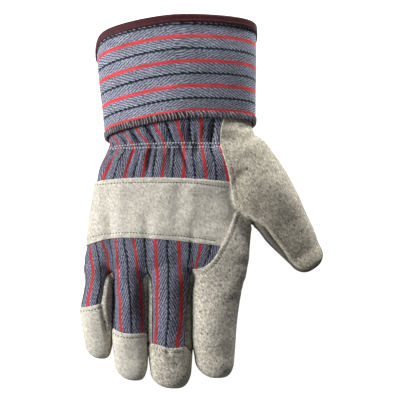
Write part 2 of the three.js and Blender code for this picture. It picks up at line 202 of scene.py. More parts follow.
# The cuff's sections: y, x, half width, top, base, turn about Z and lean outwards at the top, in degrees,
# how square the top is at its left and right
CUFF = (
    (62.7, 6.2, 57.2, 49.5, 0.4, 6.0, 8, 2.3, 2.3),
    (81, 5.3, 58.2, 54, -0.6, 5.6, 8, 2.2, 2.8),
    (105, 4.0, 59.8, 59.5, -0.6, 5.0, 9, 2.4, 3.3),
    (132.9, 2.7, 60.9, 62.4, 1.2, 4.4, 11, 2.7, 4.1),
)
CUFF_TABLE = [row[0] for row in CUFF], [row[1:] for row in CUFF]
CUFF_HEM = CUFF[0][0]
CUFF_RIM = CUFF[-1][0]
CUFF_LENGTH = 72.8  # from hem to rim, over the top
RIM_DIP = 8.4  # how much lower the rim lies at the little finger's side, over the last part of the cuff
RIM_DIP_LENGTH = 18
RIM_DIP_POWER = 24  # of how far out to that side, so that the rest of the rim stays level
HIDDEN_END = CUFF_HEM + 19  # y where the hand's skin is cut off, inside the cuff

# Seams, seen from above, as on the frame's solids
RAW_EDGE_THUMB = ((38.4, 95), (38.4, 68), (36, 56), (36.6, 45), (41, 30), (43.6, 18), (45.2, 7), (47.6, -1))
RAW_EDGE_INDEX = (
    (47.6, -1), (43.6, -12), (40.8, -20), (37, -27), (32, -36), (27, -41.2), (21, -44), (15.6, -45),
)
THUMB_SEAM = ((47.6, -1), (52.5, -2.5), (56.6, -4.4), (59.6, -8))
THUMB_GAP = ((61, -40), (70, -140))
PINKY_SEAM = ((-44.1, -46.5), (-46, -48.3), (-48.1, -51.3), (-49.6, -56), (-50.3, -62), (-51.8, -69))
PINKY_CAP = ((-51.8, -69), (-60, -71), (-80, -69))
PINKY_CAP_SIDE = ((-51.8, -69), (-50.4, -77), (-48.6, -87), (-46.6, -96), (-46.4, -120))
RING_SEAM = (
    (-17.8, -48.8), (-19.3, -49.8), (-20.3, -52), (-19.6, -57), (-18.7, -63), (-18.2, -72), (-18.2, -90),
)
RING_CAP = ((-44.1, -86.5), (-38, -90), (-30, -91.5), (-24, -91), (-18.2, -90))
MIDDLE_LEFT = ((-17.8, -48.8), (-16.6, -52), (-15.8, -56), (-15.3, -67), (-15.2, -98))
MIDDLE_CAP = ((-15.2, -98), (-9, -99.8), (-2, -102), (4, -102), (10.6, -100.5))
MIDDLE_RIGHT = ((15.6, -45), (13.8, -60), (12, -76), (10.8, -90), (10.6, -100.5))
STRAP_TOP = ((-80, 21.2), (-55, 22), (-8, 22), (20, 21), (50, 19))
STRAP_BOTTOM = ((-80, -27), (-60, -24.5), (-48, -22), (-23, -22.2), (0, -24), (20, -26), (50, -29.5))

WEBS = (-44.1, -17.8, 15.6)  # where two fingers meet
INDEX_BASE = -46
THUMB_BASE = 34
THUMB_SPLIT_Z = 13.4
THUMB_SPLIT_SLOPE = 0.22
# On its inner side the split runs higher, and shows from above at these places along and across the thumb
THUMB_SPLIT_INNER = (
    (30, -24), (37, -14.3), (41.4, -11.7), (47, -9.2), (55, -8.9), (65, -8.4), (73, -8.1), (80, -7.5),
    (88, -5.6),
)
SIDE_SEAM_Z = 10

# Places clear of the glove
LEFT, RIGHT, FAR, CUFF_END = -80, 150, -140, 95

# Where the red stripes cross the back, as y and then the x of eight of them. Black ones lie midway.
RED_STRIPES = (
    (-98, -79.5, -62.5, -47.5, -36.6, -21, -12.8, 4.6, 26),
    (-90, -79.5, -62.5, -47.5, -37.1, -21, -12.3, 6.1, 26),
    (-78, -79.5, -62.5, -47.5, -38.2, -20.6, -11.7, 7.4, 26),
    (-66, -79.5, -62.1, -47.1, -39.3, -21.5, -11.5, 7.8, 26),
    (-55, -77, -59.6, -45.5, -40.1, -22.7, -11.4, 7.7, 26),
    (-44, -76, -58.2, -46, -40.3, -24.6, -11.4, 6.7, 18.1),
    (-34, -78, -60.8, -48.4, -40.5, -26.8, -11.6, 6, 20.6),
    (-24, -79, -61.5, -52.2, -41.3, -28.2, -12, 5.6, 22),
    (22, -68, -52, -35.6, -21.6, -6.8, 8.7, 25.3, 41.6),
    (28, -65, -49.9, -34.2, -20.4, -6.6, 9, 25, 40.4),
    (38, -56, -45.6, -31.2, -18.2, -5.5, 8.8, 23.7, 38.3),
    (47, -48.5, -39.7, -29, -17.6, -5, 8.5, 22, 36.2),
    (52, -51, -41.6, -31.2, -20.4, -7.1, 7.5, 21.7, 38),
    (56, -55, -45.5, -35, -24.6, -9.4, 6.2, 21.7, 39.5),
    (62, -59, -50, -39.2, -28, -12.4, 4.4, 22.2, 40.5),
    (66, -62, -52, -41, -30, -13.5, 3.5, 22.3, 41),
)
SHOULDER = 3.5  # from the little finger's side inwards, where the back turns down into the side wall
FIRST_CUFF_RED = 3.9  # above the hem

# Folds, as x and y of both ends, height and half width. The wrist's run out from the elastic.
WRIST_FOLDS = (
    (-43.7, 46, -49.6, 22, -1.2, 1.4),
    (-36.5, 46, -41, 24, 0.8, 2.2),
    (-28.3, 46, -33.5, 24, -1.5, 1.2),
    (-24.4, 46, -27, 22, -0.9, 1.3),
    (-20, 46, -23.5, 24, 0.9, 2),
    (-15, 46, -19, 20, -2, 1.5),
    (-11.8, 46, -13.5, 22, -0.8, 1.2),
    (-6, 46, -8, 24, 0.9, 2.6),
    (-1, 46, -0.5, 26, -0.9, 1.4),
    (6.5, 46, 14, 22, -1.7, 1.4),
    (10.5, 44, 18, 24, 0.9, 2.2),
    (18, 46, 20, 28, -1, 1.3),
    (24, 46, 26, 26, 0.8, 2.2),
    (29, 46, 31, 22, -1.4, 1.5),
    (34, 46, 37, 24, 0.8, 2),
    (-33, 49, -40, 62, -1.1, 1.3),
    (-28, 49, -35, 64, 0.8, 2),
    (-24.6, 49, -32, 64, -1.4, 1.3),
    (-18, 49, -25, 66, 0.9, 2.2),
    (-11.9, 49, -19.9, 66, -1.9, 1.3),
    (-5, 49, -11, 66, 0.9, 2.4),
    (1, 49, -4, 66, -1.2, 1.3),
    (8, 49, 5, 66, 0.9, 2.4),
    (14.5, 49, 12.5, 66, -1.2, 1.4),
    (22, 49, 21.5, 66, 0.9, 2.4),
    (28.6, 49, 31.6, 68, -2, 1.8),
    (34.5, 49, 37, 66, 0.7, 2),
)
KNUCKLE_FOLDS = (
    (-45.5, -4, -46, -58, -1.6, 4.5),
    (-18, -6, -17.8, -60, -1.6, 4.5),
    (15.5, -10, 16, -60, -0.8, 2.5),
)
STRAP_FOLDS = (
    (-47, 16, -49, -20, -0.8, 4),
    (-37, 18, -37, -16, 0.8, 4.5),
    (4, 15, 5, -21, -1.1, 5),
    (14.5, 17, 15.5, -18, 0.9, 4),
    (-62, -23.5, -49, -20, -0.7, 0.9),
)
LEATHER_FOLDS = (
    (49, 38, 55, 12, -0.3, 4.5),
    (54, 34, 68, 14, 0.6, 4.5),
    (76, 24, 100, -14, 1.0, 9.0),
    (50, 52, 62, 40, 0.6, 4.0),
    (50, 60, 62, 65, -1.1, 2.5),
    (54, 20, 60, 2, 0.5, 3.0),
    (-3, -103, -1, -112, -0.9, 1.8),
    (-3, -103, 8, -118, -0.6, 2.4),
    (2, -103, -10, -116, 0.4, 2.4),
)

# Rows of stitches, seen from above
SHIRRING = (
    ((-46, 47.7), (-34.6, 48), (-8.6, 48.4), (13.6, 48.5), (35.4, 48.5)),
    ((-47, 46.6), (-34.7, 45.6), (-8.6, 45.2), (13.6, 45.1), (36.1, 45.4)),
)
STRAP_STITCHES = (
    ((-60.9, 20.4), (-55.9, 19.5), (-38, 18.9), (-8.4, 18.4), (17.3, 17.8), (32.1, 16.4), (42.4, 15.2)),
    (
        (-63.6, -20.9), (-53.1, -18.6), (-45.3, -18), (-23, -18.6), (-8.3, -20.1), (6.3, -20.9), (21, -22.3),
        (32, -24.2),
    ),
)
EDGE_INSET = 3.4  # of the row beside the index finger's and the thumb's raw edges
CAP_INSET = 3.0
UNDER_CUFF = 50  # the thumb's row starts this far along its edge

# Length and thickness of a stitch, and its height over the surface
HEAVY_STITCH = (1.1, 0.8, 0.0)
FINE_STITCH = (1.0, 0.6, 0.0)
SHIRRING_STITCH = (1.5, 1.1, 0.25)
SHIRRING_PITCH = 2.1
TAPE_STITCH = (1.3, 0.6)
TAPE_STITCH_PLACE = 1.2  # above the tape's edge

# Relief, as heights and widths
WALL_TO_TOP = (12, 20)  # folds and hills fade in between these heights of the glove
GROOVE_WIDTH = 1.5
PUFF = 0.3  # of the swelling beside a seam
PUFF_PLACE = 3.2
PUFF_WIDTH = 2.0
FURROW_WIDTH = 1.0  # of what a row of stitches pulls in
LEATHER_FURROW, CANVAS_FURROW, STRAP_FURROW = 0.3, 0.45, 0.35
EDGE_ROUND = 0.5
EDGE_DROP, STRAP_EDGE_DROP = 0.5, 0.35
EDGE_CURL = 0.2
EDGE_CURL_PLACE = 1.5
EDGE_CURL_WIDTH = 3
# Under the index finger's and the thumb's raw edge lies the strap's end: x and two ranges of y where it fades
STRAP_END = ((20, 30), (-34, -26), (20, 27))
STRAP_END_LIFT = 0.6
STRAP_END_WIDTH = 12
STRAP_TUCK = 0.9  # how far the strap dips as it runs under that edge
STRAP_TUCK_WIDTH = 6
# Fibres show at a raw edge: share of their colour, and width
LEATHER_FIBRES = (0.8, 0.5)
STRAP_FIBRES = (0.35, 0.7)
ELASTIC_Y = 47
ELASTIC_REACH = 9
GATHERED = (1, 0.35, 1)  # hills in gathered cloth are drawn out along y
# Soft random hills, as height, length and seed
LEATHER_HILLS = ((0.16, 24, 3), (0.04, 7, 4))
STRAP_HILLS = ((0.14, 26, 21), (0.04, 7, 22))
CANVAS_HILLS = ((0.2, 18, 12),)
GATHER_HILLS = ((0.08, 5, 13),)
ELASTIC_HILLS = ((0.45, 5, 11),)
CUFF_HILLS = ((0.35, 60, 31),)
CUFF_HILLS_FADE = (4, 20)  # the cuff lies flat underneath
STRIPE_WAVER = (0.3, 12, 51)
WAVER_STRETCH = (1, 0.5, 1)
WAVER_AT_ELASTIC = 1.2  # more, over this reach
WAVER_REACH = 14


# Sizes and colours that a user would change


def size(name, description, millimetres):
    metres = millimetres * MM
    return FloatProperty(name=name, description=description, default=metres, unit="LENGTH", precision=4)


def angle(name, description, degrees):
    return FloatProperty(name=name, description=description, default=math.radians(degrees), subtype="ANGLE")


def power(name, description, watts):
    return FloatProperty(name=name, description=description, default=watts, unit="POWER")


def srgb(hexadecimal):
    """A linear colour from an sRGB hex value"""
    values = [int(hexadecimal[i : i + 2], 16) / 255 for i in (1, 3, 5)]
    return tuple(v / 12.92 if v <= 0.04045 else ((v + 0.055) / 1.055) ** 2.4 for v in values)


def colour(name, description, hexadecimal):
    return FloatVectorProperty(name=name, description=description, default=srgb(hexadecimal), subtype="COLOR")


class GloveSizes(PropertyGroup):
    """Walls, seams, stripes and threads"""

    leather_wall: size("Leather", "Thickness of the split leather", 1.5)
    canvas_wall: size("Canvas", "Thickness of the back's canvas", 0.9)
    canvas_sink: size("Canvas sink", "How far the canvas lies below the leather's face", 0.8)
    underlap: size("Underlap", "How far the canvas runs on under the leather", 1.2)
    strap_wall: size("Strap", "Thickness of the knuckle strap", 1.3)
    strap_height: size("Strap height", "Height of the strap's face over the palm leather's", 0.5)
    groove: size("Seam groove", "Depth of the groove along an inside seam", 1.0)
    cuff_wall: size("Cuff", "Thickness of the doubled, stiffened canvas", 1.6)
    tape: size("Tape", "Thickness of the binding tape", 0.8)
    tape_depth: size("Tape depth", "How far the tape reaches down the cuff", 4.4)
    stripe_period: size("Stripe period", "From one red stripe to the next", 18.0)
    red_width: size("Red stripe", "Width of a red stripe", 2.6)
    black_width: size("Black stripe", "Width of a black stripe", 1.4)
    twill_pitch: size("Twill pitch", "From one twill line to the next", 1.75)
    stitch_pitch: size("Stitch pitch", "From one stitch to the next", 2.2)


class GloveColours(PropertyGroup):
    """Colours of leather, cloth and thread"""

    leather: colour("Leather", "Split leather of the index finger, palm and middle fingertip", "#cbc5b6")
    thumb_leather: colour("Thumb leather", "Split leather of the thumb's back", "#b9b2a1")
    pale_leather: colour("Pale leather", "Split leather of the strap and two fingertips", "#dad5c7")
    # Painted shade: the thumb's front is drawn much darker than the other leather, for the shade the hand
    # casts on it
    dark_leather_painted_shade: colour("Dark leather", "Split leather of the thumb's front", "#6e695c")
    cut_edge: colour("Cut edge", "Fibres of a cut leather edge", "#dcd7ca")
    back_deep: colour("Back, dark yarn", "Dark yarn of the back", "#2c2e42")
    back_pale: colour("Back, pale yarn", "Pale yarn of the back", "#a4a6b9")
    cuff_deep: colour("Cuff, dark yarn", "Dark yarn of the cuff", "#50576f")
    cuff_pale: colour("Cuff, pale yarn", "Pale yarn of the cuff", "#c6cad8")
    red: colour("Red", "Red stripes of the back", "#c63c43")
    # Painted light: the back's and the cuff's stripes are one red, drawn brighter on the cuff for the light
    # that falls on it
    lit_cuff_red: colour("Cuff red", "Red stripes of the cuff", "#f8555f")
    black: colour("Black", "Black stripes", "#141518")
    tape: colour("Tape", "Binding tape", "#4a1a22")
    pale_thread: colour("Pale thread", "Thread of the shirring", "#e2e2e4")
    hem_thread: colour("Hem thread", "Overlock threads of the hem", "#bbb7bd")
    dark_thread: colour("Dark thread", "Thread in the leather", "#4c483f")
    # Partly painted shade: the dark band under the overlock threads stands for brown under threads and for
    # the shade between them
    brown_thread_and_shade: colour("Brown thread", "Under threads of the hem", "#54444a")
    tape_thread: colour("Tape thread", "Thread in the binding", "#6a3a42")


class GloveStage(PropertyGroup):
    """Camera, light and floor"""

    elevation: angle("Elevation", "The camera's height angle", 80)
    distance: size("Distance", "From the camera to its target", 1000.0)
    view_width: size("View width", "Width of the view at the target", 300.0)
    key: power("Key", "Power of the key lamp", 20.4)
    key_side: angle("Key side", "Where the key lamp stands, from the thumb's side round", 175)
    key_height: angle("Key height", "The key lamp's height angle", 27)
    key_width: size("Key width", "Width of the key lamp", 600.0)
    rim: power("Rim", "Power of the rim lamp", 27.0)
    rim_side: angle("Rim side", "Where the rim lamp stands, from the thumb's side round", 68)
    rim_height: angle("Rim height", "The rim lamp's height angle", 8)
    rim_width: size("Rim width", "Width of the rim lamp", 400.0)
    fill: FloatProperty(name="Fill", description="Strength of the light all round", default=0.1)
    floor: colour("Floor", "Colour of the floor", "#fbfbf9")


def mm(name):
    """One of the glove's sizes, in millimetres"""
    return getattr(bpy.context.scene.glove_sizes, name) / MM


def dye(name):
    """One of the glove's colours"""
    return tuple(getattr(bpy.context.scene.glove_colours, name))


# Curves and sections


def curve(keys, values, at):
    """Values on a smooth curve through a table, which runs on straight past its ends"""
    keys = np.asarray(keys, float)
    values = np.asarray(values, float)
    slopes = np.gradient(values, keys, axis=0)
    at = np.atleast_1d(np.asarray(at, float))
    within = np.clip(at, keys[0], keys[-1])
    i = np.clip(np.searchsorted(keys, within) - 1, 0, len(keys) - 2)
    step = (keys[i + 1] - keys[i]).reshape(-1, *[1] * (values.ndim - 1))
    t = (within - keys[i]).reshape(step.shape) / step
    past = (at - within).reshape(step.shape)
    from_start = (2 * t**3 - 3 * t**2 + 1) * values[i] + (t**3 - 2 * t**2 + t) * step * slopes[i]
    to_end = (3 * t**2 - 2 * t**3) * values[i + 1] + (t**3 - t**2) * step * slopes[i + 1]
    end_slope = np.where(past < 0, slopes[0], slopes[-1])
    return from_start + to_end + past * end_slope


SMOOTH_STEP = 2.0
FINE_STEP = 1.0


def along_line(line):
    """The length of a line up to each of its points"""
    return np.concatenate(([0], np.cumsum(np.hypot(*np.diff(line, axis=0).T))))


def smooth(line, step=SMOOTH_STEP):
    """Points along a smooth curve through a line's points"""
    line = np.asarray(line, float)
    length = along_line(line)
    return curve(length, line, np.linspace(0, length[-1], max(2, round(length[-1] / step) + 1)))


def beside(line, offset):
    """A line at one side of another, to its left where the offset is positive"""
    ahead = np.gradient(line, axis=0)
    ahead /= np.linalg.norm(ahead, axis=1, keepdims=True)
    return line + offset * np.column_stack((-ahead[:, 1], ahead[:, 0]))


RING_SIDES = 96


def section(half, top, base, form, sides=RING_SIDES):
    """Points x and z round a section, whose base is fuller than its top"""
    left, right, left_roof, right_roof, roll = form
    middle = base + WIDEST_LEVEL * (top - base)
    turn = np.linspace(0, 2 * math.pi, sides, endpoint=False)
    across, up = np.cos(turn), np.sin(turn)
    at_left, over = across < 0, turn < math.pi
    power = np.where(over, 2 / np.where(at_left, left, right), 2 / BASE_ROUND)
    across = np.sign(across) * np.abs(across) ** power
    up = np.sign(up) * np.abs(up) ** power
    roof = np.where(over, np.where(at_left, left_roof, right_roof), 0)
    slope = roof * (np.hypot(across, RIDGE) - RIDGE)
    x, z = half * across, middle + np.where(over, top - middle, middle - base) * up * (1 - slope)
    return x, z - roll * x * z / top


def form_at(forms, y):
    """The form of a section at y, from a table of forms"""
    forms = np.asarray(forms, float)
    return [np.interp(y, forms[:, 0], column) for column in forms[:, 1:].T]


def ring(y, left, right, top, base, form):
    """Points of a section at y"""
    x, z = section((right - left) / 2, top, base, form)
    return np.column_stack(((left + right) / 2 + x, np.full_like(x, y), z))


def rings(rows, forms, step=2.0):
    """Close rings along a table of sections, from its last one to its first"""
    rows = np.asarray(rows, float)
    ys = np.arange(rows[-1, 0], rows[0, 0], -step)
    fine = np.column_stack((ys, curve(rows[:, 0], rows[:, 1:], ys)))
    return [ring(*row, form_at(forms, row[0])) for row in np.vstack((fine, rows[:1]))]


def tip_rings(digit, count=14):
    """Rings that shrink as a cosine does, and rise a little off the surface"""
    y, left, right, top, base = digit.rows[0]
    middle, half = (left + right) / 2, (right - left) / 2
    made = []
    for turn in np.linspace(0, math.pi / 2, count, endpoint=False)[1:]:
        height = math.cos(turn) ** TIP_THICKNESS
        to_left = half * math.cos(turn) ** (TIP_FULLNESS + digit.skew)
        to_right = half * math.cos(turn) ** (TIP_FULLNESS - digit.skew)
        low = base + (top - base) * TIP_RISE * (1 - height)
        aside = middle + digit.aside * math.sin(turn) ** TIP_LEAN_POWER
        place = y - digit.tip * math.sin(turn), aside - to_left, aside + to_right
        made.append(ring(*place, low + (top - base) * height, low, form_at(digit.forms, y)))
    return made


def loft(loops):
    """Points and faces of a closed skin through rings of points"""
    sides = len(loops[0])
    place = np.arange(len(loops) * sides).reshape(len(loops), sides)
    ahead = np.roll(place, -1, axis=1)
    quads = np.stack((place[:-1], ahead[:-1], ahead[1:], place[1:]), axis=-1).reshape(-1, 4)
    return np.vstack(loops), [*quads.tolist(), place[0][::-1].tolist(), place[-1].tolist()]


def on_thumb(along, across):
    """A place seen from above, given along and across the thumb"""
    x = THUMB_ROOT[0] + along * math.sin(THUMB_TURN) + across * math.cos(THUMB_TURN)
    y = THUMB_ROOT[1] - along * math.cos(THUMB_TURN) + across * math.sin(THUMB_TURN)
    return x, y


# The skin: the whole glove's outer face in one mesh, which the pieces are cut from

VOXEL = 0.86
SKIN_SMOOTHING = 12
FINGERS_PART = -49  # past this y the fingers stand apart while the skin is made, so that it doesn't join them
APART_REACH = 10
GAP = 0.1

Skin = namedtuple("Skin", "points normals faces")


def normals_of(points, faces):
    """A normal for each point, from the triangles round it"""
    corners = points[faces]
    across = np.cross(corners[:, 1] - corners[:, 0], corners[:, 2] - corners[:, 0])
    total = np.column_stack([
        sum(np.bincount(faces[:, k], across[:, axis], len(points)) for k in range(3)) for axis in range(3)
    ])
    return total / np.maximum(np.linalg.norm(total, axis=1, keepdims=True), 1e-12)


def parted(y):
    """How far apart the fingers stand at y, as a share"""
    return np.clip((FINGERS_PART - y) / APART_REACH, 0, 1)


def brought_together(points):
    """The skin's points with the fingers moved back to where they belong"""
    share = parted(points[:, 1])
    aparts = [digit.apart for digit in (PINKY, RING, MIDDLE, INDEX)]
    moved = np.full(len(points), float(aparts[0]))
    for web, before, after in zip(WEBS, aparts, aparts[1:]):
        start = web - GAP / 2 + share * before
        width = GAP + share * (after - before)
        moved += np.clip((points[:, 0] - start) / width, 0, 1) * (after - before)
    return points - np.column_stack((share * moved, np.zeros((len(points), 2))))


def triangles_of(mesh):
    """A mesh's points in millimetres, and its triangles"""
    mesh.calc_loop_triangles()
    points = np.empty(3 * len(mesh.vertices), np.float32)
    mesh.vertices.foreach_get("co", points)
    faces = np.empty(3 * len(mesh.loop_triangles), np.int32)
    mesh.loop_triangles.foreach_get("vertices", faces)
    return points.reshape(-1, 3).astype(float) / MM, faces.reshape(-1, 3)


@functools.cache
def skin():
    """Hand and digits as closed lofts, melted into one skin and smoothed"""
    lofts = [loft(rings(HAND, HAND_FORMS))]
    for digit in (PINKY, RING, MIDDLE, INDEX, THUMB):
        points, faces = loft(rings(digit.rows, digit.forms) + tip_rings(digit))
        points[:, 0] += digit.apart * parted(points[:, 1])
        if digit is THUMB:
            points[:, 0], points[:, 1] = on_thumb(-points[:, 1], points[:, 0])
        lofts.append((points, faces))
    starts = np.cumsum([0] + [len(points) for points, _ in lofts])
    faces = [[start + k for k in face] for start, (_, sides) in zip(starts, lofts) for face in sides]
    mesh = bpy.data.meshes.new("skin")
    mesh.from_pydata((np.vstack([points for points, _ in lofts]) * MM).tolist(), [], faces)
    pattern = bpy.data.objects.new("skin", mesh)
    bpy.context.scene.collection.objects.link(pattern)
    remesh = pattern.modifiers.new("skin", "REMESH")
    remesh.mode = "VOXEL"
    remesh.voxel_size = VOXEL * MM
    smoothing = pattern.modifiers.new("smoothing", "SMOOTH")
    smoothing.iterations = SKIN_SMOOTHING
    points, faces = triangles_of(pattern.evaluated_get(bpy.context.evaluated_depsgraph_get()).to_mesh())
    bpy.data.objects.remove(pattern)
    points = brought_together(points)
    points[:, 2] = np.maximum(points[:, 2], 0)
    return Skin(points, normals_of(points, faces), faces)


# Outlines of the pieces, seen from above


def joined(*lines):
    """An outline from several lines, laid end to end"""
    return np.vstack([np.asarray(line, float) for line in lines])


raw_thumb, raw_index = smooth(RAW_EDGE_THUMB), smooth(RAW_EDGE_INDEX)
pinky_cap, ring_cap, middle_cap = smooth(PINKY_CAP), smooth(RING_CAP), smooth(MIDDLE_CAP)
thumb_seam = smooth(THUMB_SEAM)

OUTLINES = {
    "back_panel": joined(
        ((LEFT, CUFF_END),),
        raw_thumb,
        raw_index[1:],
        MIDDLE_RIGHT[1:],
        middle_cap[::-1][1:],
        MIDDLE_LEFT[::-1][1:],
        RING_SEAM[1:],
        ring_cap[::-1][1:],
        PINKY_SEAM,
        pinky_cap[1:],
    ),
    "pinky_cap": joined(pinky_cap[::-1], PINKY_CAP_SIDE[1:], ((LEFT, FAR),)),
    "ring_cap": joined(ring_cap, ((WEBS[1], -90), (WEBS[1], FAR), (WEBS[0], FAR))),
    "middle_cap": joined(((WEBS[1], -98),), middle_cap, ((WEBS[2], -104), (WEBS[2], FAR), (WEBS[1], FAR))),
    "index": joined(raw_index, ((WEBS[2], FAR),), THUMB_GAP[::-1], thumb_seam[::-1][:-1]),
    "thumb": joined(raw_thumb[:-1], thumb_seam, THUMB_GAP, ((RIGHT, FAR), (RIGHT, CUFF_END))),
    "strap": joined(smooth(STRAP_TOP, 6), smooth(STRAP_BOTTOM, 6)[::-1]),
}
RAW_EDGES = (raw_thumb, raw_index, pinky_cap, ring_cap, middle_cap)
thumb_row, index_row = beside(raw_thumb, EDGE_INSET), beside(raw_index, EDGE_INSET)
RAW_STITCHES = (thumb_row[round(UNDER_CUFF / SMOOTH_STEP) : -1], index_row[2:-2])  # clear of the edges' ends
CAP_STITCHES = (beside(pinky_cap, CAP_INSET), beside(ring_cap, -CAP_INSET), beside(middle_cap, -CAP_INSET))


def distance_to(lines, points):
    """How far points are from the nearest of some lines, seen from above"""
    nearest = np.full(len(points), np.inf)
    for line in lines:
        for start, end in zip(line, line[1:]):
            side = end - start
            offset = points[:, :2] - start
            share = np.clip(offset @ side / (side @ side), 0, 1)
            nearest = np.minimum(nearest, np.hypot(*(offset - share[:, None] * side).T))
    return nearest


def within(outline, points):
    """How far points are inside an outline, seen from above, negative outside it"""
    x, y = points[:, 0], points[:, 1]
    inside = np.zeros(len(points), bool)
    closed = np.vstack((outline, outline[:1]))
    for start, end in zip(closed, closed[1:]):
        if start[1] != end[1]:
            crossing = start[0] + (y - start[1]) * (end[0] - start[0]) / (end[1] - start[1])
            inside ^= ((start[1] > y) != (end[1] > y)) & (x < crossing)
    return np.where(inside, 1, -1) * distance_to([closed], points)


@functools.cache
def fields():
    """For each piece, a value at the skin's points that is positive where the piece is"""
    points = skin().points
    y, z = points[:, 1:].T
    areas = {name: within(outline, points) for name, outline in OUTLINES.items()}
    above = z - SIDE_SEAM_Z
    open_end = HIDDEN_END - y
    offset = points[:, :2] - THUMB_ROOT
    along = offset[:, 0] * math.sin(THUMB_TURN) - offset[:, 1] * math.cos(THUMB_TURN)
    across = offset[:, 0] * math.cos(THUMB_TURN) + offset[:, 1] * math.sin(THUMB_TURN)
    over_split = (z - THUMB_SPLIT_Z + THUMB_SPLIT_SLOPE * across) / math.hypot(1, THUMB_SPLIT_SLOPE)
    over_split = np.minimum(over_split, across - np.interp(along, *zip(*THUMB_SPLIT_INNER)))
    top_pieces = ("back_panel", "pinky_cap", "ring_cap", "middle_cap")
    made = {name: np.minimum(areas[name], above) for name in top_pieces}
    made |= {
        "index_finger": np.minimum(areas["index"], np.maximum(INDEX_BASE - y, above)),
        "thumb_back": np.minimum(areas["thumb"], over_split),
        "thumb_front": np.minimum.reduce((areas["thumb"], -over_split, along - THUMB_BASE)),
    }
    made["palm"] = -np.maximum.reduce(list(made.values()))
    made["back_panel"] = made["back_panel"] + mm("underlap")
    tucked = areas["back_panel"] + 2 * mm("underlap")
    made["knuckle_strap"] = np.minimum.reduce((areas["strap"], above, tucked))
    return {name: np.minimum(field, open_end) for name, field in made.items()}


def clipped(rows, faces, field):
    """The part of a mesh of triangles where a value at its points isn't negative"""
    inside = field[faces] >= 0
    count = inside.sum(axis=1)

    def turned(chosen, lone):
        first = np.argmax(lone[chosen], axis=1)
        return np.take_along_axis(faces[chosen], (first[:, None] + np.arange(3)) % 3, axis=1)

    one, two = turned(count == 1, inside), turned(count == 2, ~inside)
    pairs = np.sort(np.vstack((one[:, [0, 1]], one[:, [0, 2]], two[:, [0, 1]], two[:, [0, 2]])), axis=1)
    edges, place = np.unique(pairs, axis=0, return_inverse=True)
    start, end = edges.T
    share = (field[start] / (field[start] - field[end]))[:, None]
    cut = rows[start] + share * (rows[end] - rows[start])
    bounds = np.cumsum([len(one), len(one), len(two)])
    a, b, c, d = np.split(len(rows) + place.reshape(-1), bounds)
    made = np.vstack((
        faces[count == 3],
        np.column_stack((one[:, 0], a, b)),
        np.column_stack((c, two[:, 1], two[:, 2])),
        np.column_stack((c, two[:, 2], d)),
    ))
    used, made = np.unique(made, return_inverse=True)
    return np.vstack((rows, cut))[used], made.reshape(-1, 3)


def rim_of(faces):
    """The edges that only one face uses"""
    edges = faces[:, [0, 1, 1, 2, 2, 0]].reshape(-1, 2)
    _, place, uses = np.unique(np.sort(edges, axis=1), axis=0, return_inverse=True, return_counts=True)
    return edges[uses[place.reshape(-1)] == 1]


@functools.cache
def cut_out(name):
    """A piece's part of the skin, as points, normals and faces"""
    whole = skin()
    rows, faces = clipped(np.hstack((whole.points, whole.normals)), whole.faces, fields()[name])
    normals = rows[:, 3:] / np.linalg.norm(rows[:, 3:], axis=1, keepdims=True)
    return Skin(rows[:, :3], normals, faces)


LEATHER_PIECES = ("palm", "index_finger", "thumb_back", "thumb_front", "pinky_cap", "ring_cap", "middle_cap")
RAW_NEAR = 0.5


@functools.cache
def seam_trees():
    """Points along the leather's raw edges, and along its inside seams"""
    found = []
    for name in LEATHER_PIECES:
        piece = cut_out(name)
        start, end = rim_of(piece.faces).T
        found += [piece.points[start], (piece.points[start] + piece.points[end]) / 2]
    found = np.vstack(found)
    found = found[found[:, 1] < HIDDEN_END - 1]  # the open end inside the cuff is no seam
    raw = (distance_to(RAW_EDGES, found) < RAW_NEAR) & (found[:, 2] > SIDE_SEAM_Z + RAW_NEAR)
    trees = []
    for chosen in (found[raw], found[~raw]):
        tree = KDTree(len(chosen))
        for i, point in enumerate(chosen):
            tree.insert(point, i)
        tree.balance()
        trees.append(tree)
    return trees


def from_tree(tree, points):
    """How far each point is from the nearest one in a tree"""
    return np.array([tree.find(point)[2] for point in points])


# Relief


def hill(distance, width):
    """1 at no distance, falling to nothing over about twice the width"""
    return np.exp(-((distance / width) ** 2))


def ease(value, start, end):
    """From 0 at the start to 1 at the end, gently"""
    share = np.clip((value - start) / (end - start), 0, 1)
    return share * share * (3 - 2 * share)


def waves(points, length, seed, count=28):
    """Soft random heights, mostly from -1 to 1, with hills about half a length across"""
    random = np.random.default_rng(seed)
    directions = random.normal(size=(count, 3))
    directions /= np.linalg.norm(directions, axis=1, keepdims=True)
    stretch = length * random.uniform(0.7, 1.6, count)
    starts = random.uniform(0, 2 * math.pi, count)
    phases = points @ (directions * (2 * math.pi / stretch)[:, None]).T + starts
    return np.sin(phases).sum(axis=1) / math.sqrt(count)


FOLD_START = (-0.15, 0.12)  # shares of a fold's length over which it rises
FOLD_END = (0.45, 1.1)


def folded(folds, points):
    """Heights of long soft folds that die away at their ends"""
    total = np.zeros(len(points))
    for x0, y0, x1, y1, height, width in folds:
        start, side = np.array((x0, y0)), np.array((x1 - x0, y1 - y0))
        offset = points[:, :2] - start
        share = offset @ side / (side @ side)
        aside = np.hypot(*(offset - np.clip(share, 0, 1)[:, None] * side).T)
        ends = ease(share, *FOLD_START) * (1 - ease(share, *FOLD_END))
        total += height * ends * hill(aside, width)
    return total


def hills(table, points):
    """Soft random hills from a table of heights, lengths and seeds"""
    return sum(height * waves(points, length, seed) for height, length, seed in table)


def on_top(points):
    """1 over the glove's top and 0 down its side walls"""
    return ease(points[:, 2], *WALL_TO_TOP)


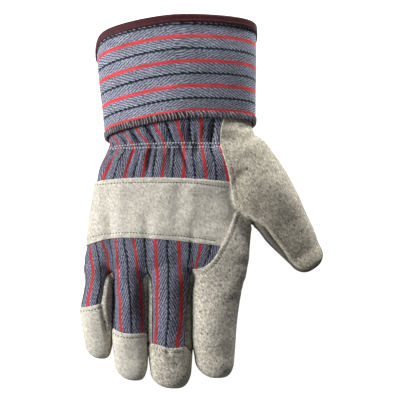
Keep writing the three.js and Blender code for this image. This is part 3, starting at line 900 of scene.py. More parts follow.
def seams_in(points):
    """Heights of the groove along an inside seam and of the swelling beside it"""
    seam = from_tree(seam_trees()[1], points)
    return PUFF * hill(seam - PUFF_PLACE, PUFF_WIDTH) - mm("groove") * hill(seam, GROOVE_WIDTH)


def furrows(rows, depth, points):
    """Heights of the furrows that rows of stitches pull in"""
    return -depth * sum(hill(distance_to([row], points), FURROW_WIDTH) for row in rows)


def fibres(distance, share, width):
    """How much the cut fibres show near a raw edge"""
    return share * hill(distance, width)


def leather_relief(points):
    """Heights over the skin of a leather piece, and its raw edges"""
    raw = from_tree(seam_trees()[0], points)
    x, y, _ = points.T
    side, near, far = STRAP_END
    over_strap = ease(y, *near) * (1 - ease(y, *far)) * ease(x, *side)
    height = seams_in(points) + STRAP_END_LIFT * over_strap * hill(raw, STRAP_END_WIDTH)
    height += EDGE_CURL * hill(raw - EDGE_CURL_PLACE, EDGE_CURL_WIDTH) - EDGE_DROP * hill(raw, EDGE_ROUND)
    soft = folded(LEATHER_FOLDS, points) + hills(LEATHER_HILLS, points)
    soft += furrows(RAW_STITCHES + CAP_STITCHES, LEATHER_FURROW, points)
    return height + on_top(points) * soft, fibres(raw, *LEATHER_FIBRES)


def canvas_relief(points):
    """Heights over the skin of the canvas back"""
    gathered = points * GATHERED
    near_elastic = hill(points[:, 1] - ELASTIC_Y, ELASTIC_REACH)
    soft = folded(WRIST_FOLDS + KNUCKLE_FOLDS, points) + hills(CANVAS_HILLS, points)
    soft += near_elastic * hills(ELASTIC_HILLS, gathered) + hills(GATHER_HILLS, gathered)
    soft += furrows([smooth(row) for row in SHIRRING], CANVAS_FURROW, points)
    return seams_in(points) - mm("canvas_sink") + on_top(points) * soft


def strap_relief(points):
    """Heights over the skin of the knuckle strap, and its cut edges"""
    raw = from_tree(seam_trees()[0], points)
    edges = within(OUTLINES["strap"], points)
    height = mm("strap_height") - STRAP_TUCK * hill(raw, STRAP_TUCK_WIDTH)
    height += folded(KNUCKLE_FOLDS, points) - STRAP_EDGE_DROP * hill(edges, EDGE_ROUND)
    soft = folded(STRAP_FOLDS, points) + hills(STRAP_HILLS, points)
    soft += furrows([smooth(row) for row in STRAP_STITCHES], STRAP_FURROW, points)
    return height + on_top(points) * soft, fibres(edges, *STRAP_FIBRES)


def shoulder_line():
    """Places y, x and z where the back turns down into the wall at the little finger's side"""
    found = []
    # The little finger's last rows are inside the hand, and the hand's first is inside the fingers
    for rows, forms in ((PINKY.rows[:5], PINKY.forms), (HAND[1:], HAND_FORMS)):
        for row in rows:
            x, _, z = ring(*row, form_at(forms, row[0]))[: RING_SIDES // 2].T
            found.append((row[0], row[1] + SHOULDER, np.interp(row[1] + SHOULDER, x[::-1], z[::-1])))
    return np.array(found).T


CORNER = 1.5  # over which the cloth turns down at the shoulder


def stripes(points):
    """Where points lie across the stripes and along them, in millimetres of cloth"""
    table = np.array(RED_STRIPES)
    x, y, z = points.T
    line_y, line_x, line_z = shoulder_line()
    past = np.maximum(np.interp(y, line_y, line_x) - x, 0)
    down = past + ease(past, 0, CORNER) * np.maximum(np.interp(y, line_y, line_z) - z, 0)
    gathering = 1 + WAVER_AT_ELASTIC * hill(y - ELASTIC_Y, WAVER_REACH)
    on_back = x + past + gathering * hills((STRIPE_WAVER,), points * WAVER_STRETCH)
    reds = curve(table[:, 0], table[:, 1:], np.clip(y, table[0, 0], table[-1, 0]))
    place = np.clip((on_back[:, None] > reds).sum(axis=1), 1, reds.shape[1] - 1)
    each = np.arange(len(points))
    before, after = reds[each, place - 1], reds[each, place]
    return mm("stripe_period") * (place - 1 + (on_back - before - down) / (after - before)), y


# Making pieces

SHARP = math.radians(50)  # an edge that turns more than this isn't smoothed over
# Painted shade: the palm leather is drawn darker in the narrow gap beside the index finger, where shade falls
# between the fingers
GAP_SHADE = 0.62
GAP_SHADE_START = (46, 56)  # from the web on towards the fingertips
GAP_SHADE_WIDTH = 5


def new_piece(name, points, faces, material, attributes=(), replaces=None, sharp=SHARP):
    """A piece from points in millimetres, which rides on the glove"""
    mesh = bpy.data.meshes.new(name)
    mesh.from_pydata((np.asarray(points) * MM).tolist(), [], np.asarray(faces).tolist())
    for key, values in dict(attributes).items():
        mesh.attributes.new(key, "FLOAT", "POINT").data.foreach_set("value", np.asarray(values, np.float32))
    mesh.shade_smooth()
    mesh.set_sharp_from_angle(angle=sharp)
    mesh.materials.append(material)
    piece = bpy.data.objects.new(name, mesh)
    bpy.context.scene.collection.objects.link(piece)
    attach(piece, "root")
    if replaces:
        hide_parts(replaces)
    return piece


def sewn(name, node, height, wall, attributes, material):
    """A piece of cloth or leather: its part of the skin at a height, and a wall inwards from there"""
    base = cut_out(node)
    outer = base.points + base.normals * height[:, None]
    outer[:, 2] = np.maximum(outer[:, 2], 0)
    inner = outer - base.normals * wall
    inner[:, 2] = np.maximum(inner[:, 2], wall)
    start, end = rim_of(base.faces).T
    count = len(outer)
    faces = np.vstack((
        base.faces,
        base.faces[:, ::-1] + count,
        np.column_stack((end, start, start + count)),
        np.column_stack((end, start + count, end + count)),
    ))
    doubled = {key: np.concatenate((values, values)) for key, values in attributes.items()}
    return new_piece(name, np.vstack((outer, inner)), faces, material, doubled, node)


def leather_piece(name, node, material, gap_shaded=False):
    """A leather piece, which can take painted shade: drawn darker in the narrow gap beside the index finger,
    where shade falls
    """
    points = cut_out(node).points
    height, raw = leather_relief(points)
    grime = gap_shaded * GAP_SHADE * ease(-points[:, 1], *GAP_SHADE_START) * hill(points[:, 0] - WEBS[2], GAP_SHADE_WIDTH)
    attributes = {"raw": raw, "grime": grime}
    return sewn(name, node, height, mm("leather_wall"), attributes, material)


# Round bands: the cuff and its binding, as a profile carried round the cuff's sections

CUFF_SIDES = 260
CUFF_STEPS, TAPE_STEPS, TAPE_BEND_STEPS, HEM_STEPS = 84, 9, 13, 5
TAPE_CLEARANCE = 0.2


def cuff_ring(y, grow):
    """Points round the cuff's section, from under it over its left side and top to its right side"""
    x0, half, top, base, turn, lean, *square = curve(*CUFF_TABLE, y)[0]
    turn, lean = math.radians(turn), math.tan(math.radians(lean))
    middle = (top + base) / 2
    x, z = section(half + grow, top + grow, base - grow, (*square, *CUFF_ROOFS, 0), CUFF_SIDES)
    start = 3 * CUFF_SIDES // 4
    order = (start - np.arange(CUFF_SIDES + 1)) % CUFF_SIDES
    x, z = x[order], z[order]
    aside = np.clip(-x / (half + grow), 0, 1) ** RIM_DIP_POWER
    dip = RIM_DIP * ease(y, CUFF_RIM - RIM_DIP_LENGTH, CUFF_RIM) * aside
    along = lean * (z - middle) - dip
    return np.column_stack((
        x0 + x * math.cos(turn) - along * math.sin(turn),
        y + x * math.sin(turn) + along * math.cos(turn),
        np.maximum(z, max(0, -grow)),
    ))


def lengths(points):
    """Distance along a ring's points, from the middle of it"""
    steps = np.linalg.norm(np.diff(points, axis=0), axis=1)
    total = np.concatenate(([0], np.cumsum(steps)))
    return total - total[-1] / 2


def on_ring(ring, at):
    """Places on a ring at some lengths round it"""
    length = lengths(ring)
    return np.column_stack([np.interp(at, length, ring[:, k]) for k in range(3)])


def band(profile):
    """Points, faces and lengths round a band whose profile is a closed loop of y and growth"""
    loops = np.array([cuff_ring(y, grow) for y, grow in profile])
    count, sides = loops.shape[:2]
    place = np.arange(count * sides).reshape(count, sides)
    ahead = np.roll(place, -1, axis=0)
    quads = np.stack((place[:, :-1], place[:, 1:], ahead[:, 1:], ahead[:, :-1]), axis=-1).reshape(-1, 4)
    return loops.reshape(-1, 3), quads, np.tile(lengths(loops[0]), count)


def faces_at(ys, grow):
    """Profile points of one face of a band"""
    return [(y, grow) for y in ys]


def round_end(y, grow, radius, towards, count=7):
    """Half a circle of profile points round the end of a wall, from its outer to its inner face"""
    turns = np.linspace(0, math.pi, count)
    return [(y + towards * radius * math.sin(t), grow - radius * (1 - math.cos(t))) for t in turns]


# Materials

# Sizes of their patterns, in millimetres: leather, then cloth, tape, thread and floor
BLOTCHES, MOTTLES, GRAIN, SPECKS = 14, 3.0, 1.1, 0.9
NAP_TURN = math.radians(38)
NAP_LENGTH = 2.2  # times a fibre's width
TWILL_ANGLE = math.radians(28)  # from the direction of the stripes
TWILL_WAVER, WORN_PATCHES = 5, 20
SLUB, DOT = (0.9, 14), (0.9, 1.3)  # across the stripes and along them
STRIPE_BLUR = 0.15
TAPE_RIB, TAPE_CLOUDS = 1.0, 3
FIBRES, SOILED_PATCHES = 0.8, 4
ACRYLIC_GRAIN = 25

RED_DEEP = 0.8  # the dark yarn in a red stripe, as a share of its red
BLACK_PALE = 0.35  # the pale yarn in a black stripe, as a share of the ground's dark yarn
GREY_NAP, PALE_NAP, DULL_NAP, DARK_NAP = 1.2, 0.65, 1.1, 0.6  # how strongly grain and specks show
SOIL, PALE_SOIL, HEM_SOIL = 0.3, 0.15, 0.5  # how much darker the soiled patches are
FLOOR_GLOW = 1.05

# A Map Range node's sockets, and the range that most of a noise lies in
FROM, TO, LOW, HIGH = "From Min", "From Max", "To Min", "To Max"
NOISE = {FROM: 0.3, TO: 0.7}
SOILED = {FROM: 0.35, TO: 0.6}
# A Mix node's sockets for colours, whose names are those of its other ones too
FIRST_COLOUR, SECOND_COLOUR, MIXED_COLOUR = 6, 7, 2


def connect(node, inputs):
    """Gives a node's inputs their values or links"""
    for key, value in dict(inputs).items():
        if isinstance(value, bpy.types.Node):
            value = value.outputs[0]
        if isinstance(value, bpy.types.NodeSocket):
            node.id_data.links.new(value, node.inputs[key])
        else:
            node.inputs[key].default_value = value


def add(tree, kind, inputs=(), **settings):
    """Adds a shader node with its settings and links"""
    made = tree.nodes.new("ShaderNode" + kind)
    for name, value in settings.items():
        setattr(made, name, value)
    connect(made, inputs)
    return made


def opaque(rgb):
    """A colour with full alpha, as a node's colour socket holds"""
    return (*rgb, 1.0)


def new_material(name, roughness, sheen=0.0):
    """A material with its node tree and shader"""
    material = bpy.data.materials.new(name)
    material.use_nodes = True
    tree = material.node_tree
    shader = tree.nodes["Principled BSDF"]
    connect(shader, {"Roughness": roughness, "Specular IOR Level": 0.25})
    connect(shader, {"Sheen Weight": sheen, "Sheen Roughness": 0.6})
    return material, functools.partial(add, tree), shader


def patches(put, place, width, low, high, detail=2.0, limits=NOISE):
    """Soft random patches of about a width, as values from low to high"""
    noise = put("TexNoise", {"Vector": place, "Scale": 1 / width, "Detail": detail})
    return put("MapRange", {"Value": noise, **limits, LOW: low, HIGH: high})


@functools.cache
def suede(name, colour_name, nap):
    """Split cowhide, sueded: its napped fibres give a dry, mottled face with no gloss"""
    material, put, shader = new_material(name, roughness=0.95, sheen=0.2)
    place = put("TexCoord").outputs["Object"]
    mottle = put("TexNoise", {"Vector": place, "Scale": 1 / (MOTTLES * MM), "Detail": 2.0})
    # The nap lies one way. Its fibres are finer than a pixel and are drawn 1.1 mm wide and 2.4 mm long
    lying = put(
        "Mapping",
        {"Vector": place, "Rotation": (0, 0, NAP_TURN), "Scale": (1.0, NAP_LENGTH, 1.0)},
        vector_type="TEXTURE",
    )
    grain = put("TexNoise", {"Vector": lying, "Scale": 1 / (GRAIN * MM), "Detail": 3.0, "Roughness": 0.65})
    specks = put("TexNoise", {"Vector": lying, "Scale": 1 / (SPECKS * MM), "Detail": 0.0})
    blotchy = patches(put, place, BLOTCHES * MM, 0.95, 1.05, detail=3.0)
    mottled = put("MapRange", {"Value": mottle, **NOISE, LOW: 0.94, HIGH: 1.06})
    grainy = put("MapRange", {"Value": grain, **NOISE, LOW: -0.5, HIGH: 0.45})
    dark_specks = put("MapRange", {"Value": specks, FROM: 0.24, TO: 0.32, LOW: -0.42, HIGH: 0.0})
    pale_specks = put("MapRange", {"Value": specks, FROM: 0.7, TO: 0.78, LOW: 0.0, HIGH: 0.5})
    specked = put("Math", {0: dark_specks, 1: pale_specks}, operation="ADD")
    both = put("Math", {0: blotchy, 1: mottled}, operation="MULTIPLY")
    rough_part = put("Math", {0: grainy, 1: specked}, operation="ADD")
    fine = put("Math", {0: rough_part, 1: nap, 2: 1.0}, operation="MULTIPLY_ADD")
    # Painted shade from an attribute darkens the colour in the gap beside the index finger
    grime = put("Attribute", attribute_name="grime").outputs["Fac"]
    unshaded = put("Math", {0: 1.0, 1: grime}, operation="SUBTRACT")
    toned = put("Math", {0: both, 1: fine}, operation="MULTIPLY")
    strength = put("Math", {0: toned, 1: unshaded}, operation="MULTIPLY")
    raw = put("Attribute", attribute_name="raw").outputs["Fac"]
    face, cut = opaque(dye(colour_name)), opaque(dye("cut_edge"))
    tinted = put("Mix", {"Factor": raw, FIRST_COLOUR: face, SECOND_COLOUR: cut}, data_type="RGBA")
    shaded = put("VectorMath", {0: tinted.outputs[MIXED_COLOUR], "Scale": strength}, operation="SCALE")
    bump = put("Bump", {"Height": grain, "Strength": 0.8, "Distance": 0.3 * MM})
    rough = put("Bump", {"Height": mottle, "Normal": bump, "Strength": 0.5, "Distance": 0.5 * MM})
    connect(shader, {"Base Color": shaded, "Normal": rough})
    return material


def striped(put, place, ground, red, black):
    """A colour for each place across the stripes: red at 0, black at the middle of the period"""
    period, half_red, half_black = mm("stripe_period"), mm("red_width") / 2, mm("black_width") / 2
    stops = (
        (0, red),
        (half_red, red),
        (half_red + STRIPE_BLUR, ground),
        (period / 2 - half_black - STRIPE_BLUR, ground),
        (period / 2 - half_black, black),
        (period / 2 + half_black, black),
        (period / 2 + half_black + STRIPE_BLUR, ground),
        (period - half_red - STRIPE_BLUR, ground),
        (period - half_red, red),
    )
    ramp = put("ValToRGB", {"Fac": place})
    while len(ramp.color_ramp.elements) < len(stops):
        ramp.color_ramp.elements.new(1.0)
    for element, (position, value) in zip(ramp.color_ramp.elements, stops):
        element.position = position / period
        element.color = opaque(value)
    return ramp


@functools.cache
def twill(name, deep_name, pale_name, red_name):
    """Yarn-dyed cotton twill, woven: ribs slant one way up to each stripe and back after it"""
    deep, pale, red = dye(deep_name), dye(pale_name), dye(red_name)
    period = mm("stripe_period")
    material, put, shader = new_material(name, roughness=0.9, sheen=0.1)
    place = put("TexCoord").outputs["Object"]
    across = put("Attribute", attribute_name="stripe").outputs["Fac"]
    along = put("Attribute", attribute_name="along").outputs["Fac"]
    shift = patches(put, place, TWILL_WAVER * MM, -0.4, 0.4)
    wrapped = put("Math", {0: across, 1: period, 2: 0.0}, operation="WRAP")
    side = put("Math", {0: wrapped, 1: period / 2}, operation="GREATER_THAN")
    sign = put("MapRange", {"Value": side, LOW: -1.0, HIGH: 1.0})
    slant = put("Math", {0: along, 1: sign}, operation="MULTIPLY")
    slanted = put("Math", {0: slant, 1: math.sin(TWILL_ANGLE)}, operation="MULTIPLY")
    straight = put("Math", {0: across, 1: math.cos(TWILL_ANGLE), 2: slanted}, operation="MULTIPLY_ADD")
    wavering = put("Math", {0: straight, 1: shift}, operation="ADD")
    turns = put("Math", {0: wavering, 1: 2 * math.pi / mm("twill_pitch")}, operation="MULTIPLY")
    rib = put("Math", {0: turns}, operation="SINE")
    # Warp yarns are half a millimetre apart, too fine to show, and are drawn as slubs 0.9 mm wide
    cloth = put("CombineXYZ", {0: across, 1: along})
    yarn_scale = put("VectorMath", {0: cloth, 1: (1 / SLUB[0], 1 / SLUB[1], 1)}, operation="MULTIPLY")
    slubs = patches(put, yarn_scale, 1.0, 0.66, 1.36)
    dots_scale = put("VectorMath", {0: cloth, 1: (1 / DOT[0], 1 / DOT[1], 1)}, operation="MULTIPLY")
    broken = patches(put, dots_scale, 1.0, -0.5, 0.5)
    from_red = put("Math", {0: across, 1: period / 2}, operation="PINGPONG")
    tooth = put("MapRange", {"Value": from_red, TO: period / 2, LOW: 0.1, HIGH: 0.42})
    toothed = put("Math", {0: rib, 1: tooth, 2: across}, operation="MULTIPLY_ADD")
    stripe_place = put("Math", {0: toothed, 1: period, 2: 0.0}, operation="WRAP")
    share = put("Math", {0: stripe_place, 1: period}, operation="DIVIDE")
    deep_ramp = striped(put, share, deep, [RED_DEEP * v for v in red], dye("black"))
    pale_ramp = striped(put, share, pale, red, [BLACK_PALE * v for v in deep])
    rib_share = put("MapRange", {"Value": rib, FROM: -0.8, TO: 0.8, LOW: 0.06, HIGH: 0.74})
    facing = put("Math", {0: rib_share, 1: broken}, operation="ADD", use_clamp=True)
    yarn_colours = {FIRST_COLOUR: deep_ramp, SECOND_COLOUR: pale_ramp}
    mixed = put("Mix", {"Factor": facing, **yarn_colours}, data_type="RGBA")
    wear = patches(put, place, WORN_PATCHES * MM, 0.86, 1.12, detail=3.0)
    strength = put("Math", {0: wear, 1: slubs}, operation="MULTIPLY")
    shaded = put("VectorMath", {0: mixed.outputs[MIXED_COLOUR], "Scale": strength}, operation="SCALE")
    bump = put("Bump", {"Height": facing, "Strength": 0.6, "Distance": 0.25 * MM})
    connect(shader, {"Base Color": shaded, "Normal": bump})
    return material


@functools.cache
def tape():
    """Vinyl-coated woven tape: dark, with a dull gloss and a fine rib across it"""
    material, put, shader = new_material("vinyl_coated_tape", roughness=0.65)
    place = put("TexCoord").outputs["Object"]
    along = put("Attribute", attribute_name="along").outputs["Fac"]
    # Ribs of 0.5 mm are too fine to show and are drawn at 1 mm
    turns = put("Math", {0: along, 1: 2 * math.pi / TAPE_RIB}, operation="MULTIPLY")
    rib = put("Math", {0: turns}, operation="SINE")
    strength = patches(put, place, TAPE_CLOUDS * MM, 0.75, 1.25, detail=3.0)
    shaded = put("VectorMath", {0: dye("tape"), "Scale": strength}, operation="SCALE")
    bump = put("Bump", {"Height": rib, "Strength": 0.4, "Distance": 0.1 * MM})
    connect(shader, {"Base Color": shaded, "Normal": bump})
    return material


@functools.cache
def thread(name, colour_name, soil):
    """Cotton thread, spun: matt, with fibres of uneven brightness, and soiled in places"""
    material, put, shader = new_material(name, roughness=0.85, sheen=0.2)
    place = put("TexCoord").outputs["Object"]
    fibrous = patches(put, place, FIBRES * MM, 0.7, 1.15)
    soiled = patches(put, place, SOILED_PATCHES * MM, 1 - soil, 1.1, detail=1.0, limits=SOILED)
    strength = put("Math", {0: fibrous, 1: soiled}, operation="MULTIPLY")
    shaded = put("VectorMath", {0: dye(colour_name), "Scale": strength}, operation="SCALE")
    connect(shader, {"Base Color": shaded})
    return material


def acrylic():
    """Opal acrylic, cast and lit from below: an even white with no gloss"""
    material, put, shader = new_material("opal_acrylic_lit", roughness=0.9)
    place = put("TexCoord").outputs["Object"]
    grain = put("TexNoise", {"Vector": place, "Scale": 1 / (ACRYLIC_GRAIN * MM)})
    strength = put("MapRange", {"Value": grain, LOW: 0.99, HIGH: 1.0})
    floor = tuple(bpy.context.scene.glove_stage.floor)
    shaded = put("VectorMath", {0: floor, "Scale": strength}, operation="SCALE")
    connect(shader, {"Base Color": shaded, "Emission Color": shaded, "Emission Strength": FLOOR_GLOW})
    return material


# Stitches

STITCH_SIDES = 6
STITCH_RINGS = (-1.0, -0.75, 0.0, 0.75, 1.0)
STITCH_GIRTHS = (0.35, 0.85, 1.0, 0.85, 0.35)


def stitches(centres, directions, ups, length, thickness):
    """Points and faces of short round stitches"""
    turns = np.linspace(0, 2 * math.pi, STITCH_SIDES, endpoint=False)
    sideways = np.cross(ups, directions)
    loops = []
    for place, girth in zip(STITCH_RINGS, STITCH_GIRTHS):
        middle = centres + directions * place * length / 2
        for turn in turns:
            reach = girth * thickness / 2
            loops.append(middle + sideways * math.cos(turn) * reach + ups * math.sin(turn) * reach)
    points = np.stack(loops, axis=1)
    per = points.shape[1]
    faces = []
    for r in range(len(STITCH_RINGS) - 1):
        for k in range(STITCH_SIDES):
            a, b = r * STITCH_SIDES + k, r * STITCH_SIDES + (k + 1) % STITCH_SIDES
            faces += [(a, b, b + STITCH_SIDES), (a, b + STITCH_SIDES, a + STITCH_SIDES)]
    last = per - STITCH_SIDES
    for k in range(1, STITCH_SIDES - 1):
        faces += [(0, k + 1, k), (last, last + k, last + k + 1)]
    faces = np.array(faces)
    starts = np.arange(len(centres)) * per
    return points.reshape(-1, 3), (faces[None] + starts[:, None, None]).reshape(-1, 3)


def merged(meshes):
    """Points and faces of several meshes as one"""
    points, faces = zip(*meshes)
    starts = np.cumsum([0] + [len(part) for part in points[:-1]])
    return np.vstack(points), np.vstack([part + start for part, start in zip(faces, starts)])


@functools.cache
def surface():
    """The outer faces of what is sewn, for laying stitches on"""
    names = (
        "back_panel_canvas", "palm_leather", "index_leather", "thumb_back_leather",
        "pinky_cap_leather", "ring_cap_leather", "middle_cap_leather", "knuckle_strap_leather",
    )
    points, faces = merged([triangles_of(bpy.data.objects[name].data) for name in names])
    return BVHTree.FromPolygons(points.tolist(), faces.tolist())


ABOVE = 150  # a height over the whole glove, which stitches are dropped from
AHEAD, AHEAD_ROUND = 0.4, 0.5  # how far on along its row a stitch is aimed


def laid(line, pitch, lift):
    """Centres, directions and ups of stitches along a line seen from above"""
    line = smooth(line, FINE_STEP)
    length = along_line(line)
    at = np.arange(pitch / 2, length[-1], pitch)
    places = np.column_stack([np.interp(at, length, line[:, k]) for k in range(2)])
    ahead = np.column_stack([np.interp(at + AHEAD, length, line[:, k]) for k in range(2)])
    made = []
    for place, next_place in zip(places, ahead):
        hits = [surface().ray_cast(Vector((*p, ABOVE)), Vector((0, 0, -1))) for p in (place, next_place)]
        if hits[0][0] is None or hits[1][0] is None:
            continue
        up = hits[0][1]
        direction = hits[1][0] - hits[0][0]
        direction = (direction - up * direction.dot(up)).normalized()
        made.append((hits[0][0] + up * lift, direction, up))
    return [np.array(column) for column in zip(*made)]


def thread_piece(name, points, faces, material, sharp=math.pi):
    """A piece of thread, which is kept off the floor"""
    points[:, 2] = np.maximum(points[:, 2], 0)
    return new_piece(name, points, faces, material, sharp=sharp)


def sew_rows(name, rows, pitch, stitch, material):
    """A piece of stitches along some rows"""
    length, thickness, lift = stitch
    made = [stitches(*laid(row, pitch, lift), length, thickness) for row in rows]
    return thread_piece(name, *merged(made), material)


def round_cuff(y, grow):
    """Points and faces of a row of stitches round the cuff"""
    ring = cuff_ring(y, grow)
    length = lengths(ring)
    at = np.arange(length[0], length[-1] - 1, mm("stitch_pitch"))
    directions = on_ring(ring, at + AHEAD_ROUND) - on_ring(ring, at)
    directions /= np.linalg.norm(directions, axis=1, keepdims=True)
    return stitches(on_ring(ring, at), directions, np.cross(directions, (0, 1, 0)), *TAPE_STITCH)


HEM_BAND = 3.3
HEM_THREAD = 0.95
HEM_LIFT = 0.2  # of the dark band of under threads over the canvas. The band is partly the brown under threads and partly painted shade between the overlock threads and along the hem's edge
# Rings that the overlock threads run between, as y from the hem and growth. The last is on the inner face
HEM_TOP, HEM_EDGE, HEM_UNDER = (HEM_BAND, 0.4), (-0.3, 0.35), -0.9
# How far round the cuff, and there the pitch of the overlock threads and their slant
HEM_THREADS = (
    (0, 2.1, -1.2),
    (0.3, 2.1, -1.2),
    (0.45, 2.4, -1.6),
    (0.6, 3, -2.6),
    (0.75, 3.4, -4.6),
    (1, 3.4, -4.6),
)
HEM_SEED = 41
UNEVEN_PITCH = 0.16
UNEVEN_SLANT = (0.6, 1.4)


def wound(low, high, slanted=True):
    """Threads from one ring of the cuff to another, at the slants of the table or straight"""
    length = lengths(low)
    shares, pitches, slants = zip(*HEM_THREADS)
    share = (length - length[0]) / (length[-1] - length[0])
    count = np.concatenate(([0], np.cumsum(np.diff(length) / np.interp(share[1:], shares, pitches))))
    random = np.random.default_rng(HEM_SEED)
    place = np.arange(0.5, count[-1])
    at = np.interp(place + random.uniform(-UNEVEN_PITCH, UNEVEN_PITCH, len(place)), count, length)
    start = on_ring(low, at)
    slant = np.interp(at, length, np.interp(share, shares, slants)) * random.uniform(*UNEVEN_SLANT, len(at))
    end = on_ring(high, at + slanted * slant)
    directions = end - start
    reach = np.linalg.norm(directions, axis=1, keepdims=True)
    directions /= reach
    ups = np.cross(np.gradient(start, axis=0), directions)
    ups /= np.linalg.norm(ups, axis=1, keepdims=True)
    return stitches((start + end) / 2, directions, ups, reach, HEM_THREAD)


# Operators


class GLOVE_OT_canvas_back(Operator):
    """Sews the striped canvas back, gathered at the wrist"""

    bl_idname = "glove.canvas_back"
    bl_label = "Sew Canvas Back"

    def execute(self, context):
        points = cut_out("back_panel").points
        across, along = stripes(points)
        material = twill("striped_cotton_twill", "back_deep", "back_pale", "red")
        attributes = {"stripe": across, "along": along}
        height, wall = canvas_relief(points), mm("canvas_wall")
        sewn("back_panel_canvas", "back_panel", height, wall, attributes, material)
        return {"FINISHED"}


class GLOVE_OT_leather(Operator):
    """Sews the split leather of palm, index finger, thumb and fingertips"""

    bl_idname = "glove.leather"
    bl_label = "Sew Leather"

    def execute(self, context):
        grey = suede("split_cowhide_grey", "leather", GREY_NAP)
        pale = suede("split_cowhide_pale", "pale_leather", PALE_NAP)
        dull = suede("split_cowhide_dull", "thumb_leather", DULL_NAP)
        # The thumb's front leather is darkened as painted shade of the hand
        dark = suede("split_cowhide_dark", "dark_leather_painted_shade", DARK_NAP)
        # The palm takes painted shade in the gap beside the index finger
        leather_piece("palm_leather", "palm", grey, gap_shaded=True)
        leather_piece("index_leather", "index_finger", grey)
        leather_piece("thumb_back_leather", "thumb_back", dull)
        leather_piece("thumb_front_leather", "thumb_front", dark)
        for finger, material in (("pinky", pale), ("ring", pale), ("middle", grey)):
            leather_piece(f"{finger}_cap_leather", f"{finger}_cap", material)
        return {"FINISHED"}


class GLOVE_OT_strap(Operator):
    """Lays the knuckle strap over the canvas"""

    bl_idname = "glove.strap"
    bl_label = "Lay Knuckle Strap"

    def execute(self, context):
        height, raw = strap_relief(cut_out("knuckle_strap").points)
        material = suede("split_cowhide_pale", "pale_leather", PALE_NAP)
        wall = mm("strap_wall")
        sewn("knuckle_strap_leather", "knuckle_strap", height, wall, {"raw": raw}, material)
        return {"FINISHED"}


class GLOVE_OT_cuff(Operator):
    """Sets the stiff striped cuff on the wrist"""

    bl_idname = "glove.cuff"
    bl_label = "Set Cuff"

    def execute(self, context):
        wall = mm("cuff_wall")
        ys = np.linspace(CUFF_HEM, CUFF_RIM, CUFF_STEPS)
        profile = faces_at(ys, 0.0)
        profile += round_end(CUFF_RIM, 0.0, wall / 2, 1)[1:-1]
        profile += faces_at(ys[::-1], -wall)
        profile += round_end(CUFF_HEM, 0.0, wall / 2, -1)[::-1][1:-1]
        points, faces, along = band(profile)
        share = (np.array([y for y, _ in profile]) - CUFF_HEM) / (CUFF_RIM - CUFF_HEM)
        across = np.repeat(share * CUFF_LENGTH - FIRST_CUFF_RED, CUFF_SIDES + 1)
        points[:, 2] += hills(CUFF_HILLS, points) * ease(points[:, 2], *CUFF_HILLS_FADE)
        # The cuff's red is drawn brighter than the back's as painted light
        material = twill("stiffened_cotton_twill", "cuff_deep", "cuff_pale", "lit_cuff_red")
        attributes = {"stripe": across, "along": along}
        new_piece("cuff_canvas", points, faces, material, attributes, "cuff")
        return {"FINISHED"}


class GLOVE_OT_binding(Operator):
    """Folds the binding tape over the cuff's rim"""

    bl_idname = "glove.binding"
    bl_label = "Fold Binding"

    def execute(self, context):
        low, tape_wall = CUFF_RIM - mm("tape_depth"), mm("tape")
        out, back = TAPE_CLEARANCE + tape_wall, -mm("cuff_wall") - TAPE_CLEARANCE
        ys = np.linspace(low, CUFF_RIM, TAPE_STEPS)
        profile = round_end(low, out, tape_wall / 2, -1)[::-1]
        profile += faces_at(ys[1:], out)
        profile += round_end(CUFF_RIM, out, (out - back + tape_wall) / 2, 1, TAPE_BEND_STEPS)[1:-1]
        profile += faces_at(ys[::-1], back - tape_wall)
        profile += round_end(low, back, tape_wall / 2, -1)[::-1][1:]
        profile += faces_at(ys[1:], back)
        profile += round_end(CUFF_RIM, TAPE_CLEARANCE, (TAPE_CLEARANCE - back) / 2, 1)[::-1][1:-1]
        profile += faces_at(ys[::-1][:-1], TAPE_CLEARANCE)
        points, faces, along = band(profile)
        attributes = {"along": along}
        new_piece("cuff_binding_tape", points, faces, tape(), attributes, "cuff_binding")
        material = thread("spun_cotton_thread_maroon", "tape_thread", SOIL)
        thread_piece("binding_stitches", *round_cuff(low + TAPE_STITCH_PLACE, out), material)
        return {"FINISHED"}


class GLOVE_OT_stitches(Operator):
    """Sews the rows of stitches on strap, raw edges, fingertips and elastic"""

    bl_idname = "glove.stitches"
    bl_label = "Sew Stitches"

    def execute(self, context):
        pitch = mm("stitch_pitch")
        dark = thread("spun_cotton_thread_dark", "dark_thread", SOIL)
        pale = thread("spun_cotton_thread_pale", "pale_thread", PALE_SOIL)
        sew_rows("strap_stitches", STRAP_STITCHES, pitch, HEAVY_STITCH, dark)
        sew_rows("edge_stitches", RAW_STITCHES, pitch, FINE_STITCH, dark)
        sew_rows("cap_stitches", CAP_STITCHES, pitch, HEAVY_STITCH, dark)
        sew_rows("shirring_stitches", SHIRRING, SHIRRING_PITCH, SHIRRING_STITCH, pale)
        return {"FINISHED"}


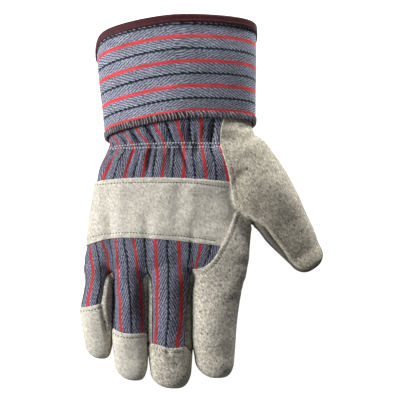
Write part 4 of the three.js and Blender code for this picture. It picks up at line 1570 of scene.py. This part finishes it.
class GLOVE_OT_hem(Operator):
    """Winds the overlock threads round the cuff's hem"""

    bl_idname = "glove.hem"
    bl_label = "Wind Hem Threads"

    def execute(self, context):
        wall = mm("cuff_wall")
        ys = np.linspace(CUFF_HEM, CUFF_HEM + HEM_BAND, HEM_STEPS)
        profile = faces_at(ys, HEM_LIFT) + faces_at(ys[::-1], -wall - HEM_LIFT)
        profile += round_end(CUFF_HEM, HEM_LIFT, wall / 2 + HEM_LIFT, -1)[::-1][1:-1]
        points, faces, _ = band(profile)
        # The dark band is partly brown under threads and partly painted shade between the overlock threads
        # and along the hem's edge
        brown_and_shade = thread("spun_cotton_thread_brown", "brown_thread_and_shade", SOIL)
        thread_piece("hem_loops", points, faces, brown_and_shade, SHARP)
        places = (HEM_TOP, HEM_EDGE, (HEM_UNDER, -wall))
        top, edge, under = [cuff_ring(CUFF_HEM + y, grow) for y, grow in places]
        runs = [wound(edge, top), wound(under, edge, slanted=False)]
        thread_piece("hem_threads", *merged(runs), thread("overlock_thread", "hem_thread", HEM_SOIL))
        return {"FINISHED"}


# The stage, in metres apart from the sensor's width in millimetres

CAMERA_TARGET = Vector((21, 9, 20)) * MM
SENSOR = 36.0
LAMP_DISTANCE = 1.3
FLOOR_HALF = 3.0
FLOOR_LEVEL = -0.1 * MM  # just under the palm, so that the two faces don't flicker


def set_lamp(name, watts, side, height, width):
    """A round soft lamp, aimed at the glove"""
    data = bpy.data.lights.new(name, "AREA")
    data.shape = "DISK"
    data.size = width
    data.energy = watts
    lamp = bpy.data.objects.new(name, data)
    flat = math.cos(height)
    away = Vector((math.cos(side) * flat, math.sin(side) * flat, math.sin(height)))
    lamp.location = CAMERA_TARGET + away * LAMP_DISTANCE
    lamp.rotation_euler = away.to_track_quat("Z", "Y").to_euler()
    bpy.context.scene.collection.objects.link(lamp)


class GLOVE_OT_stage(Operator):
    """Sets the floor, the soft light and the camera"""

    bl_idname = "glove.stage"
    bl_label = "Set Stage"

    def execute(self, context):
        scene = context.scene
        stage = scene.glove_stage
        mesh = bpy.data.meshes.new("floor")
        square = ((-1, -1), (1, -1), (1, 1), (-1, 1))
        corners = [(x * FLOOR_HALF, y * FLOOR_HALF, FLOOR_LEVEL) for x, y in square]
        mesh.from_pydata(corners, [], [(0, 1, 2, 3)])
        mesh.materials.append(acrylic())
        floor = bpy.data.objects.new("floor", mesh)
        floor.visible_diffuse = False  # its glow reaches the camera alone, as on a photo cut out on white
        scene.collection.objects.link(floor)

        world = bpy.data.worlds.new("soft_box")
        world.use_nodes = True
        connect(world.node_tree.nodes["Background"], {"Color": (1, 1, 1, 1), "Strength": stage.fill})
        scene.world = world

        set_lamp("key", stage.key, stage.key_side, stage.key_height, stage.key_width)
        set_lamp("rim", stage.rim, stage.rim_side, stage.rim_height, stage.rim_width)

        data = bpy.data.cameras.new("camera")
        data.sensor_width = SENSOR
        data.lens = SENSOR * stage.distance / stage.view_width
        camera = bpy.data.objects.new("camera", data)
        back = Vector((0, -math.cos(stage.elevation), math.sin(stage.elevation)))
        camera.location = CAMERA_TARGET + back * stage.distance
        camera.rotation_euler = (-back).to_track_quat("-Z", "Y").to_euler()
        scene.collection.objects.link(camera)
        scene.camera = camera
        scene.view_settings.view_transform = "Standard"
        return {"FINISHED"}


class GLOVE_PT_sidebar(Panel):
    """Lists the glove's pieces, sizes and colours"""

    bl_idname = "GLOVE_PT_sidebar"
    bl_label = "Glove"
    bl_space_type = "VIEW_3D"
    bl_region_type = "UI"
    bl_category = "Glove"

    def draw(self, context):
        for operator in OPERATORS:
            self.layout.operator(operator.bl_idname)
        for group in (context.scene.glove_sizes, context.scene.glove_colours, context.scene.glove_stage):
            box = self.layout.box()
            for key in group.bl_rna.properties.keys():
                if key not in ("rna_type", "name"):
                    box.prop(group, key)


GROUPS = {"glove_sizes": GloveSizes, "glove_colours": GloveColours, "glove_stage": GloveStage}
OPERATORS = (
    GLOVE_OT_canvas_back,
    GLOVE_OT_leather,
    GLOVE_OT_strap,
    GLOVE_OT_cuff,
    GLOVE_OT_binding,
    GLOVE_OT_hem,
    GLOVE_OT_stitches,
    GLOVE_OT_stage,
)


def register():
    for made in (*GROUPS.values(), *OPERATORS, GLOVE_PT_sidebar):
        bpy.utils.register_class(made)
    for name, group in GROUPS.items():
        setattr(bpy.types.Scene, name, PointerProperty(type=group))


def unregister():
    for name in GROUPS:
        delattr(bpy.types.Scene, name)
    for made in (GLOVE_PT_sidebar, *reversed(OPERATORS), *GROUPS.values()):
        bpy.utils.unregister_class(made)


def main():
    register()
    for operator in OPERATORS:
        group, name = operator.bl_idname.split(".")
        getattr(getattr(bpy.ops, group), name)()
    bpy.context.view_layer.update()


if __name__ == "__main__":
    main()
